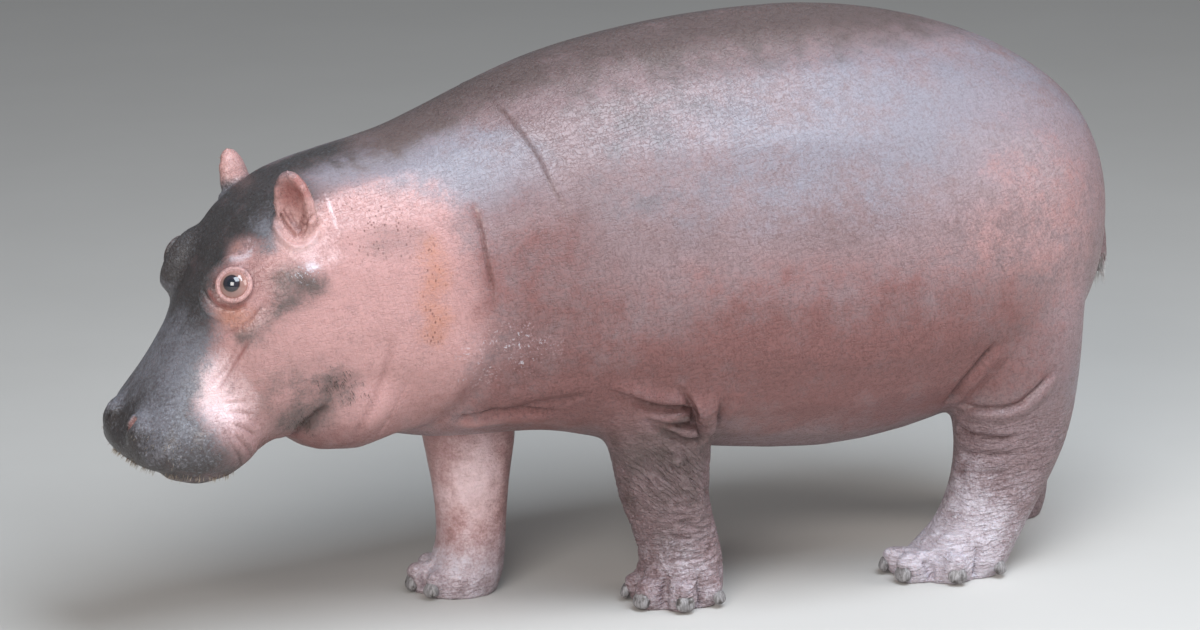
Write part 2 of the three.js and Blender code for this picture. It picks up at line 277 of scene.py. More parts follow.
class Clay:
    """A mesh held as arrays, so that whole regions are smoothed, pushed or masked at once."""

    def __init__(self, obj: bpy.types.Object) -> None:
        """Reads the mesh of an object."""
        self.obj = obj
        self.mesh = obj.data
        count = len(self.mesh.vertices)
        self.co = np.empty(count * 3)
        self.mesh.vertices.foreach_get("co", self.co)
        self.co = self.co.reshape(-1, 3)
        ends = np.empty(len(self.mesh.edges) * 2, dtype=np.int64)
        self.mesh.edges.foreach_get("vertices", ends)
        self.ends = ends.reshape(-1, 2)
        self.degree = np.bincount(ends, minlength=count).astype(float)
        self.settle()

    def settle(self) -> None:
        """Writes the places to the mesh, and reads its new normals."""
        self.mesh.vertices.foreach_set("co", self.co.ravel())
        self.mesh.update()
        normals = np.empty(self.co.size)
        self.mesh.vertex_normals.foreach_get("vector", normals)
        self.normals = normals.reshape(-1, 3)

    def surface(self) -> BVHTree:
        """A tree of the mesh's faces, to find the nearest point on it."""
        bpy.context.view_layer.update()
        return BVHTree.FromObject(self.obj, bpy.context.evaluated_depsgraph_get())

    def averaged(self, values: Array, weight: Array, rounds: int) -> Array:
        """Blends the value of each vertex with those of its neighbours.

        Args:
            values: One row for each vertex.
            weight: How far each vertex follows its neighbours in a round, from 0 to 1.
            rounds: How often.

        Returns:
            The blended rows.
        """
        first, second = self.ends.T
        count = len(values)
        for _ in range(rounds):
            total = np.empty_like(values)
            for k in range(values.shape[1]):
                total[:, k] = np.bincount(first, values[second, k], count)
                total[:, k] += np.bincount(second, values[first, k], count)
            values = values + weight[:, None] * (total / self.degree[:, None] - values)
        return values

    def relax(self, weight: Array, rounds: int) -> None:
        """Smooths the form and gives back the fullness that the smoothing took."""
        smooth = self.averaged(self.co, weight, rounds)
        lost = self.averaged(self.co - smooth, weight, rounds)
        self.co = smooth + lost
        self.settle()

    def push(self, amount: Array, where: Array | None = None) -> None:
        """Moves vertices along their normals, all of them or those of an index."""
        index = slice(None) if where is None else where
        self.co[index] += self.normals[index] * amount[:, None]


@dataclass(frozen=True)
class Route:
    """A smooth line that lies on a surface, drawn through a few points given in millimetres."""

    points: tuple[Point, ...]
    step: float = 3.0

    def mirrored(self) -> "Route":
        """The same line on the other side of the body."""
        return Route(tuple((x, -y, z) for x, y, z in self.points), self.step)

    def drawn(self, surface: BVHTree | None = None) -> Array:
        """Places along the line, drawn down onto a surface.

        Args:
            surface: The surface, or none to leave the line as it is.

        Returns:
            One row for each place.
        """
        held = [self.points[0], *self.points, self.points[-1]]
        knots = np.array(held, dtype=float) * MM
        rows = []
        for p0, p1, p2, p3 in zip(knots, knots[1:], knots[2:], knots[3:]):
            count = max(2, round(float(np.linalg.norm(p2 - p1)) / (self.step * MM)))
            t = np.linspace(0.0, 1.0, count, endpoint=False)[:, None]
            bend = t * (2 * p0 - 5 * p1 + 4 * p2 - p3 + t * (3 * (p1 - p2) + p3 - p0))
            rows.append(p1 + 0.5 * t * (p2 - p0 + bend))
        places = np.concatenate([*rows, knots[-1:]])
        if surface is None:
            return places
        return np.array([surface.find_nearest(Vector(place))[0] for place in places])


@dataclass(frozen=True)
class Nearness:
    """How some vertices lie beside a route: which ones, how far, how far along, which side."""

    index: Array
    distance: Array
    share: Array
    side: Array


def beside(places: Array, clay: Clay, reach: float) -> Nearness:
    """Measures the vertices near a drawn route.

    Args:
        places: The route's places.
        clay: The mesh.
        reach: The distance past which a vertex is left out.

    Returns:
        The vertices within reach, with their distance from the route, their share of the way
        along it, and 1 or -1 for the side of it that they are on.
    """
    low, high = places.min(axis=0) - reach, places.max(axis=0) + reach
    index = np.flatnonzero(((clay.co > low) & (clay.co < high)).all(axis=1))
    starts, runs = places[:-1], np.diff(places, axis=0)
    offset = clay.co[index][:, None, :] - starts[None]
    share = np.clip((offset * runs).sum(2) / np.maximum((runs**2).sum(1), 1e-12), 0.0, 1.0)
    away = offset - share[..., None] * runs
    squared = (away**2).sum(2)
    nearest = squared.argmin(axis=1)
    row = np.arange(len(index))
    across = np.cross(clay.normals[index], runs[nearest])
    side = np.sign((across * away[row, nearest]).sum(1))
    distance = np.sqrt(squared[row, nearest])
    along = (nearest + share[row, nearest]) / len(runs)
    keep = distance < reach
    return Nearness(index[keep], distance[keep], along[keep], side[keep])


def flips(mirrored: bool) -> tuple[float, ...]:
    """What y is multiplied by on each side of the body that a form has."""
    return (1.0, -1.0) if mirrored else (1.0,)


def both_sides(route: Route, mirrored: bool) -> list[tuple[Route, int]]:
    """The route, and its mirror image where it has one, each with the sign of its side."""
    return [(route, 1), (route.mirrored(), -1)] if mirrored else [(route, 1)]


# ------------------------------------------------------------------ forms worked into the skin
@dataclass(frozen=True)
class Crease:
    """A groove along a route, with a roll of skin beside it, in millimetres.

    Where it laps, its roll falls steeply into the groove and the other side rises slowly from it.
    """

    points: tuple[Point, ...]
    depth: float
    width: float
    roll: float = 0.0
    roll_side: int = 1
    mirrored: bool = True
    start: float = 0.22
    end: float = 0.22
    lap: float = 0.0
    roll_spread: float = 2.2
    roll_narrowed: float = 0.5
    steepened: float = 0.45
    eased: float = 0.9
    reach: float = 5.0
    widest_tint: float = 4.0
    darkest_depth: float = 5.0
    darkest_width: float = 5.0

    def strength(self, share: Array) -> Array:
        """How strong the groove is along its route: it fades towards its ends."""
        return rise(share, 0.0, self.start) * rise(share, 1.0, 1.0 - self.end)

    def tint(self, clay: Clay, plain: BVHTree, folds: Array) -> None:
        """Paints shade at the bottom of the groove.

        Args:
            clay: The skin with the groove in it.
            plain: The surface before the groove was pressed into it.
            folds: The mask that is darkened.
        """
        width = min(0.6 * self.width, self.widest_tint) * MM
        deep = min(1.0, self.depth / self.darkest_depth) * min(1.0, self.darkest_width / self.width)
        for route, _ in both_sides(Route(self.points), self.mirrored):
            found = [plain.find_nearest(Vector(place))[:2] for place in route.drawn()]
            bottom = np.array([place - normal * self.depth * MM for place, normal in found])
            near = beside(bottom, clay, 3 * width)
            amount = bell(near.distance, width) * self.strength(near.share) * deep
            folds[near.index] = np.maximum(folds[near.index], amount)

    def work(self, clay: Clay, surface: BVHTree) -> None:
        """Presses the groove into the clay and raises its roll."""
        width = self.width * MM
        roll_width = (self.roll_spread - self.roll_narrowed * self.lap) * width
        steep, easy = 1.0 - self.steepened * self.lap, 1.0 + self.eased * self.lap
        for route, sign in both_sides(Route(self.points), self.mirrored):
            near = beside(route.drawn(surface), clay, self.reach * width)
            signed = near.distance * near.side * sign * self.roll_side
            spread = np.where(signed > 0.0, steep, easy)
            amount = -self.depth * MM * bell(near.distance / spread, width)
            amount += self.roll * MM * bell(signed - roll_width, roll_width)
            clay.push(amount * self.strength(near.share), near.index)


@dataclass(frozen=True)
class Swelling:
    """A soft rise of the skin in millimetres, or a hollow where its height is negative."""

    centre: Point
    radii: Point
    height: float
    mirrored: bool = True
    reach: float = 2.4

    def work(self, clay: Clay) -> None:
        """Raises the swelling on each side of the body that has it."""
        for flip in flips(self.mirrored):
            centre = np.array(self.centre) * (1.0, flip, 1.0)
            away = length((clay.co / MM - centre) / self.radii)
            where = np.flatnonzero(away < self.reach)
            clay.push(self.height * MM * bell(away[where], 1.0), where)


@dataclass(frozen=True)
class Ripples:
    """Fine parallel wrinkles over a region, running roughly one way, in millimetres."""

    centre: Point
    radii: Point
    run: Point
    pitch: float
    height: float
    stretch: float = 5.0
    mirrored: bool = True

    def work(self, clay: Clay) -> None:
        """Raises the ripples on each side of the body that has them."""
        for flip in flips(self.mirrored):
            mirror = np.array((1.0, flip, 1.0))
            run = np.array(self.run) * mirror
            run /= np.linalg.norm(run)
            away = length((clay.co / MM - np.array(self.centre) * mirror) / self.radii)
            where = np.flatnonzero(away < 1.6)
            places = clay.co[where] / MM
            along = (places @ run)[:, None] * run
            squeezed = (places - along + along / self.stretch) / self.pitch
            ridges = np.array([noise.noise(Vector(place)) for place in squeezed])
            ridges = 1.0 - 2.2 * np.abs(ridges)
            height = self.height * MM * (ridges - 0.5)
            clay.push(height * rise(away[where], 1.6, 0.6), where)


@dataclass(frozen=True)
class Toes:
    """The clefts between the toes of each foot, and the soft backs of the toes, in millimetres."""

    count: int = 4
    cleft_heights: tuple[float, ...] = (2.0, 16.0, 34.0)
    cleft_depth: float = 11.0
    cleft_width: float = 5.0
    top_height: float = 60.0
    top_inset: float = 12.0
    back_above: float = 16.0
    back_radius: float = 14.0
    back_height: float = 6.0

    def work(self, clay: Clay, surface: BVHTree) -> None:
        """Shapes the toes of every foot."""
        for end in ("fore", "hind"):
            for side in SIDES:
                self.foot(clay, surface, end, side)

    def foot(self, clay: Clay, surface: BVHTree, end: str, side: str) -> None:
        """Shapes the toes of one foot.

        Args:
            clay: The skin.
            surface: The skin's surface.
            end: "fore" or "hind".
            side: "left" or "right".
        """
        low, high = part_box(f"{end}_foot_{side}")
        middle = (low + high) / (2 * MM)
        boxes = [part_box(f"nail_{end}_{side}_{k + 1}") for k in range(self.count)]
        nails = [(box[0] + box[1]) / (2 * MM) for box in boxes]
        for first, second in zip(nails, nails[1:]):
            between = (first + second) / 2
            outwards = Vector((between.x - middle.x, between.y - middle.y)).normalized()
            points = [(between.x, between.y, height) for height in self.cleft_heights]
            top = (
                between.x - outwards.x * self.top_inset,
                between.y - outwards.y * self.top_inset,
                self.top_height,
            )
            places = Route((*points, top)).drawn(surface)
            near = beside(places, clay, 4 * self.cleft_width * MM)
            amount = -self.cleft_depth * MM * bell(near.distance, self.cleft_width * MM)
            clay.push(amount * rise(near.share, 1.0, 0.4), near.index)
        radii = (self.back_radius, self.back_radius, self.back_radius)
        for nail in nails:
            centre = (nail.x, nail.y, nail.z + self.back_above)
            Swelling(centre, radii, self.back_height, mirrored=False).work(clay)


@dataclass(frozen=True)
class Eyelids:
    """The lids round an eyeball: a rounded rim, a furrow outside it and a soft fold."""

    axis: Point
    opening: float = 52.0
    corner: float = 6.0
    rim_width: float = 17.0
    rim_height: float = 3.4 * MM
    furrow_depth: float = 1.6 * MM
    fold_height: float = 1.0 * MM
    reach: float = 104.0
    behind: float = 4 * MM
    tinted: float = 0.42
    far_tinted: float = 0.15
    far_relief: float = 0.25

    def work(self, clay: Clay, centre: Vector, radius: float, side: int) -> None:
        """Shapes the skin round one eye.

        Args:
            clay: The skin.
            centre: The eyeball's middle.
            radius: Its radius.
            side: -1 for the left eye and 1 for the right one.
        """
        axis = np.array(self.axis) * (1.0, -side, 1.0)
        axis /= np.linalg.norm(axis)
        offset = clay.co - np.array(centre)
        away = length(offset)
        where = np.flatnonzero((away < 3.0 * radius) & (offset @ axis > -0.3 * radius))
        offset, away = offset[where], away[where]
        straight = np.clip((offset @ axis) / away, -1.0, 1.0)
        angle = np.degrees(np.arccos(straight))
        forward = np.array((-0.9, 0.0, -0.42))
        flat = offset - (offset @ axis)[:, None] * axis
        turn = (flat @ forward) / np.maximum(length(flat), 1e-9)
        past = angle - (self.opening + self.corner * np.abs(turn) ** 3)
        rim = self.rim_height * np.sqrt(np.clip(1.0 - (past / self.rim_width - 0.5) ** 2 * 4, 0, 1))
        relief = 1.0 if side < 0 else self.far_relief
        furrow = bell(past - 1.25 * self.rim_width, 0.3 * self.rim_width)
        furrow = -self.furrow_depth * relief * furrow
        fold = bell(past - 1.9 * self.rim_width, 0.5 * self.rim_width)
        fold = self.fold_height * relief * fold
        lidded = radius + 1.2 * MM + rim + furrow + fold
        free = rise(angle, self.opening + 1.4 * self.rim_width, self.reach)
        target = lidded * (1.0 - free) + (away + furrow + fold) * free
        target = np.where(past < 0.0, radius - self.behind, target)
        clay.co[where] = np.array(centre) + offset / away[:, None] * target[:, None]

    def paint(self, clay: Clay, masks: dict["Tint", Array], centre: Vector, side: int) -> None:
        """Tints the rim of the lids, and paints shade into the furrow round them.

        Args:
            clay: The skin.
            masks: The masks.
            centre: The eyeball's middle.
            side: -1 for the left eye and 1 for the right one.
        """
        axis = np.array(self.axis) * (1.0, -side, 1.0)
        axis /= np.linalg.norm(axis)
        offset = clay.co - np.array(centre)
        away = length(offset)
        near = rise(away, 48 * MM, 40 * MM)
        straight = np.clip((offset @ axis) / np.maximum(away, 1e-9), -1.0, 1.0)
        past = np.degrees(np.arccos(straight)) - self.opening
        rim = rise(past, 1.3 * self.rim_width, 0.7 * self.rim_width) * near
        furrow = bell(past - 1.75 * self.rim_width, 0.3 * self.rim_width) * near
        tinted = self.tinted if side < 0 else self.far_tinted
        masks[Tint.LID_PINK_AND_PAINTED_LIGHT] = np.maximum(masks[Tint.LID_PINK_AND_PAINTED_LIGHT], tinted * rim)
        relief = 1.0 if side < 0 else self.far_relief
        # painted shade in the furrow round the lids
        masks[Tint.PAINTED_CREASE_SHADE] = np.maximum(masks[Tint.PAINTED_CREASE_SHADE], 0.75 * relief * furrow)


# ------------------------------------------------------------------ tints of the skin
class Tint(Enum):
    """The masks that colour the skin, each stored on the mesh under its name; several paint sheen, glints,
    highlights and shade.
    """

    BLUSH_AND_PAINTED_LIGHT = "blush"
    SLATE = "slate"
    PALE_AND_PAINTED_LIGHT = "pale"
    CLAY = "clay"
    BLOOM = "bloom"
    OCHRE = "ochre"
    PAINTED_SHADE_AND_DARK_MARKS = "shade"
    DUST_AND_SHEEN = "dust"
    PAINTED_GLINTS = "specks"
    PAINTED_SLATE_SHEEN = "glaze"
    LID_PINK_AND_PAINTED_LIGHT = "lid"
    SLANT = "slant"
    RAW = "raw"
    PORES = "pores"
    PAINTED_CREASE_SHADE = "folds"
    LEG = "leg"


@dataclass(frozen=True)
class Patch:
    """A soft-edged zone of one tint, shaped as a turned ellipsoid, in millimetres.

    A negative strength rubs out what is there.
    """

    tint: Tint
    centre: Point
    radii: Point
    strength: float = 1.0
    pitch: float = 0.0
    edge: float = 0.6
    mirrored: bool = True

    def paint(self, clay: Clay, masks: dict[Tint, Array]) -> None:
        """Adds the zone to its mask, on each side of the body that has it."""
        angle = math.radians(self.pitch)
        c, s = math.cos(angle), math.sin(angle)
        for flip in flips(self.mirrored):
            x, y, z = (clay.co / MM - np.array(self.centre) * (1.0, flip, 1.0)).T
            turned = np.stack([c * x + s * z, y, c * z - s * x], axis=1) / self.radii
            amount = self.strength * rise(length(turned), 1.0 + self.edge, 1.0 - self.edge)
            if self.strength < 0:
                masks[self.tint] *= 1.0 + amount
            else:
                masks[self.tint] = 1.0 - (1.0 - masks[self.tint]) * (1.0 - amount)


@dataclass(frozen=True)
class Stripe:
    """A soft-edged line of one tint along a route on the skin, in millimetres."""

    tint: Tint
    points: tuple[Point, ...]
    width: float
    strength: float = 1.0
    mirrored: bool = True

    def paint(self, clay: Clay, surface: BVHTree, masks: dict[Tint, Array]) -> None:
        """Adds the line to its mask, on each side of the body that has it."""
        for route, _ in both_sides(Route(self.points), self.mirrored):
            near = beside(route.drawn(surface), clay, 2.5 * self.width * MM)
            fade = rise(near.share, 0.0, 0.15) * rise(near.share, 1.0, 0.85)
            amount = self.strength * bell(near.distance, self.width * MM) * fade
            mask = masks[self.tint]
            mask[near.index] = 1.0 - (1.0 - mask[near.index]) * (1.0 - amount)


# ------------------------------------------------------------------ finishes
@dataclass(frozen=True)
class SkinFinish:
    """Bare, slightly moist skin, tinted by the masks, some of which paint sheen, glints and shade, and
    covered with fine cracks darkened as painted shade.
    """

    mauve: Colour = (0.290, 0.205, 0.213)
    dusk: Colour = (0.245, 0.168, 0.172)
    # rose pink; on the far foreleg and under the chest it is painted light
    rose_and_painted_light: Colour = (0.500, 0.282, 0.270)
    slate: Colour = (0.058, 0.052, 0.052)
    # pale pink-white skin; on the far foreleg it is painted light
    pale: Colour = (0.830, 0.625, 0.645)
    # red-brown skin, laid on the belly, chest, jaw, rump and neck fold partly as painted shade
    clay: Colour = (0.222, 0.098, 0.092)
    # painted shade, and the brownish grey of the dark marks on the cheek
    shade: Colour = (0.130, 0.095, 0.090)
    # painted bluish sheen on the dark skin of the head
    glaze: Colour = (0.190, 0.190, 0.215)
    # painted bluish sheen of the sky along the back, rump and neck
    bloom: Colour = (0.250, 0.232, 0.268)
    ochre: Colour = (0.480, 0.225, 0.168)
    # dark red, partly painted shade along the folds round the eye and cheek and in the ear's hollow
    raw: Colour = (0.300, 0.095, 0.082)
    # pink of the lids and nostril; on the far ear it is painted light
    lid: Colour = (0.540, 0.310, 0.290)
    leg: Colour = (0.300, 0.215, 0.225)
    # pale dust, with painted sheen and highlights on the feet, nostril rim, wart and brow
    dust: Colour = (0.640, 0.590, 0.650)
    # painted wet glints
    painted_glint: Colour = (0.620, 0.620, 0.680)
    # multiplies the colour in the painted shade of furrows, folds and leg wrinkles, and in the random dark
    # grain and mottle
    crease: Colour = (0.40, 0.28, 0.27)
    pore: Colour = (0.30, 0.21, 0.19)
    roughness: float = 0.36
    # line, wrinkle and fold shades are painted shade in the net's furrows, the leg wrinkles and the folds;
    # grain and mottle darken at random, and pores as dots
    line_shade: float = 0.54
    grain_shade: float = 0.34
    mottle_shade: float = 0.08
    wrinkle_shade: float = 0.36
    fold_shade: float = 0.85
    pore_shade: float = 0.8
    # strength of the painted wet glints
    painted_glint_strength: float = 0.7
    # strength of the painted grainy sheen on the dark skin
    slate_sheen_grain: float = 0.3
    wrinkle_depth: float = 1.8 * MM
    mottle_depth: float = 0.8 * MM
    net_depth: float = 0.5 * MM
    grain_depth: float = 0.35 * MM
    sheen_smoothed: float = 0.6

    def made(self) -> bpy.types.Material:
        """Builds the material."""
        graph = Graph("calf_skin")
        clouds = graph.noise(4.0, 3.0)
        drift = graph.noise(17.0, 3.0)
        mottle = graph.noise(48.0, 4.0)
        grain = graph.noise(260.0, 3.0, rough=0.7)
        ragged = (drift - 0.5) * 1.1 + (mottle - 0.5) * 0.8 + (grain - 0.5) * 0.8

        colour = graph.mix(clouds.step(0.35, 0.65), self.mauve, self.dusk)
        layers = (
            (Tint.LEG, self.leg),
            (Tint.BLOOM, self.bloom),
            (Tint.BLUSH_AND_PAINTED_LIGHT, self.rose_and_painted_light),
            (Tint.CLAY, self.clay),
            (Tint.PAINTED_SHADE_AND_DARK_MARKS, self.shade),
            (Tint.DUST_AND_SHEEN, self.dust),
            (Tint.OCHRE, self.ochre),
            (Tint.PALE_AND_PAINTED_LIGHT, self.pale),
            (Tint.SLATE, self.slate),
            (Tint.PAINTED_SLATE_SHEEN, self.glaze),
            (Tint.LID_PINK_AND_PAINTED_LIGHT, self.lid),
            (Tint.RAW, self.raw),
        )
        for tint, tone in layers:
            mask = graph.mask(tint.value)
            amount = (mask + ragged * mask.step(0.0, 0.35)).step(0.05, 0.95)
            colour = graph.mix(amount, colour, tone)

        lines, net = self.crossed(graph)
        wrinkles = self.wrinkled(graph)
        legs = graph.mask(Tint.LEG.value)
        tall = graph.stretched((210.0, 210.0, 130.0))
        dots = graph.cells("F1", 1.0, tall).step(0.36, 0.14) * graph.mask(Tint.PORES.value)
        dots = dots * mottle.step(0.42, 0.54)
        # painted wet glints where the grain and mottle run high
        specks = grain.step(0.55, 0.66) * mottle.step(0.42, 0.56)
        specks = specks * graph.mask(Tint.PAINTED_GLINTS.value)
        plain = 1.0 - graph.mask(Tint.BLUSH_AND_PAINTED_LIGHT.value) * 0.65
        for tint, calmed in ((Tint.PALE_AND_PAINTED_LIGHT, 0.7), (Tint.DUST_AND_SHEEN, 0.6), (Tint.BLOOM, 0.45)):
            plain = plain * (1.0 - graph.mask(tint.value) * calmed)
        # painted shade in the furrows of the fine net
        colour = graph.darken(colour, lines * plain * self.line_shade, self.crease)
        dark_grain = grain.step(0.60, 0.34) * plain * self.grain_shade
        colour = graph.darken(colour, dark_grain, self.crease)
        colour = graph.darken(colour, mottle.step(0.52, 0.34) * self.mottle_shade, self.crease)
        # painted shade between the leg wrinkles and at the bottoms of the folds and creases
        colour = graph.darken(colour, (1.0 - wrinkles) * legs * self.wrinkle_shade, self.crease)
        colour = graph.darken(colour, graph.mask(Tint.PAINTED_CREASE_SHADE.value) * self.fold_shade, self.crease)
        colour = graph.darken(colour, dots * self.pore_shade, self.pore)
        colour = graph.mix(specks * self.painted_glint_strength, colour, self.painted_glint)

        # painted grainy sheen on the dark skin
        slate = graph.mask(Tint.SLATE.value)
        colour = graph.mix(grain.step(0.50, 0.72) * slate * self.slate_sheen_grain, colour, self.glaze)

        normal = graph.bump(wrinkles * legs, self.wrinkle_depth)
        normal = graph.bump(mottle, self.mottle_depth, normal)
        smooth = 1.0 - graph.mask(Tint.BLOOM.value) * self.sheen_smoothed
        normal = graph.bump(net * smooth, self.net_depth, normal)
        normal = graph.bump(grain, self.grain_depth, normal)
        rough = self.roughness + (grain - 0.5) * 0.3 + lines * 0.12 + legs * 0.1 - specks * 0.25
        return graph.finish(
            Base_Color=colour,
            Roughness=rough,
            Normal=normal,
            Specular_IOR_Level=0.5,
            Subsurface_Weight=0.06,
            Subsurface_Radius=(1.0, 0.35, 0.2),
            Subsurface_Scale=6 * MM,
        )

    def crossed(self, graph: Graph) -> tuple[Wire, Wire]:
        """The fine net of the skin: short furrows that run up and down, and others across them.

        Args:
            graph: The material's graph.

        Returns:
            How far a place is in a furrow, and the height of the skin between them.
        """
        upright = graph.noise(1.0, 2.0, graph.stretched((210.0, 150.0, 60.0), (0.0, 16.0, 0.0)))
        level = graph.noise(1.0, 2.0, graph.stretched((60.0, 90.0, 210.0), (0.0, 12.0, 0.0)))
        first = ((upright - 0.5) * (upright - 0.5)).step(0.0, 0.0022)
        second = ((level - 0.5) * (level - 0.5)).step(0.0, 0.0022)
        height = first * 0.5 + second * 0.5
        return 1.0 - height, height

    def wrinkled(self, graph: Graph) -> Wire:
        """The height of the skin between the long narrow wrinkles that run across the legs."""
        broad = graph.noise(1.0, 2.0, graph.stretched((18.0, 18.0, 84.0), (0.0, 12.0, 0.0)))
        fine = graph.noise(1.0, 2.0, graph.stretched((36.0, 36.0, 170.0), (0.0, -8.0, 0.0)))
        slanted = graph.noise(1.0, 1.0, graph.stretched((24.0, 24.0, 150.0), (0.0, -40.0, 0.0)))
        first = ((broad - 0.5) * (broad - 0.5)).step(0.0, 0.006)
        second = ((fine - 0.5) * (fine - 0.5)).step(0.0, 0.006)
        third = ((slanted - 0.5) * (slanted - 0.5)).step(0.0, 0.008)
        slant = graph.mask(Tint.SLANT.value)
        return (first * 0.6 + second * 0.4) * (1.0 - slant) + third * slant


@dataclass(frozen=True)
class EyeFinish:
    """A wet eyeball, coloured by the angle from the line of sight."""

    pupil: Colour = (0.010, 0.014, 0.022)
    iris: Colour = (0.026, 0.022, 0.030)
    limbus: Colour = (0.020, 0.012, 0.010)
    white: Colour = (0.270, 0.160, 0.140)
    corner: Colour = (0.330, 0.165, 0.140)

    def made(self) -> bpy.types.Material:
        """Builds the material."""
        graph = Graph("eyeball")
        streaks = graph.noise(260.0, 3.0)
        angle = graph.mask("angle") + (streaks - 0.5) * 0.03
        stops = [
            (0.00, self.pupil),
            (0.13, self.pupil),
            (0.17, self.iris),
            (0.27, self.iris),
            (0.31, self.limbus),
            (0.36, self.white),
            (0.62, self.corner),
        ]
        colour = graph.node("ShaderNodeValToRGB", {"stops": stops}, {"Fac": angle})
        return graph.finish(
            Base_Color=colour, Roughness=0.12, Coat_Weight=1.0, Coat_Roughness=0.02
        )


@dataclass(frozen=True)
class NailFinish:
    """Dull keratin with growth lines and dark mottling."""

    keratin: Colour = (0.170, 0.158, 0.158)
    worn: Colour = (0.340, 0.320, 0.325)
    dark: Colour = (0.060, 0.050, 0.046)

    def made(self) -> bpy.types.Material:
        """Builds the material."""
        graph = Graph("nail_keratin")
        streaks = graph.noise(1.0, 3.0, graph.stretched((420.0, 420.0, 60.0)))
        mottle = graph.noise(90.0, 3.0)
        colour = graph.mix(streaks.step(0.35, 0.7), self.keratin, self.worn)
        colour = graph.mix(mottle.step(0.5, 0.7), colour, self.dark)
        normal = graph.bump(streaks, 0.5 * MM)
        return graph.finish(Base_Color=colour, Roughness=0.42, Normal=normal)


@dataclass(frozen=True)
class BristleFinish:
    """Stiff hair, paler at the tip."""

    name: str
    root: Colour
    tip: Colour

    def made(self) -> bpy.types.Material:
        """Builds the material."""
        graph = Graph(self.name)
        along = graph.mask("along") + (graph.noise(180.0) - 0.5) * 0.4
        colour = graph.mix(along.step(0.1, 0.9), self.root, self.tip)
        return graph.finish(Base_Color=colour, Roughness=0.5)


# ------------------------------------------------------------------ pieces
def new_object(name: str, mesh: bpy.types.Mesh) -> bpy.types.Object:
    """Links a new object with a mesh into the scene."""
    obj = bpy.data.objects.new(name, mesh)
    bpy.context.scene.collection.objects.link(obj)
    return obj


def from_bmesh(name: str, form: bmesh.types.BMesh) -> bpy.types.Object:
    """Ends a bmesh as a smooth-shaded object."""
    mesh = bpy.data.meshes.new(name)
    form.to_mesh(mesh)
    form.free()
    mesh.shade_smooth()
    return new_object(name, mesh)


def applied(obj: bpy.types.Object, kind: str, **settings: object) -> None:
    """Adds a modifier to an object and makes its result the object's mesh.

    Args:
        obj: The object.
        kind: The modifier's type.
        settings: Its properties.
    """
    modifier = obj.modifiers.new(kind.lower(), kind)
    for name, value in settings.items():
        setattr(modifier, name, value)
    bpy.context.view_layer.update()
    evaluated = obj.evaluated_get(bpy.context.evaluated_depsgraph_get())
    mesh = bpy.data.meshes.new_from_object(evaluated)
    obj.modifiers.clear()
    obj.data = mesh


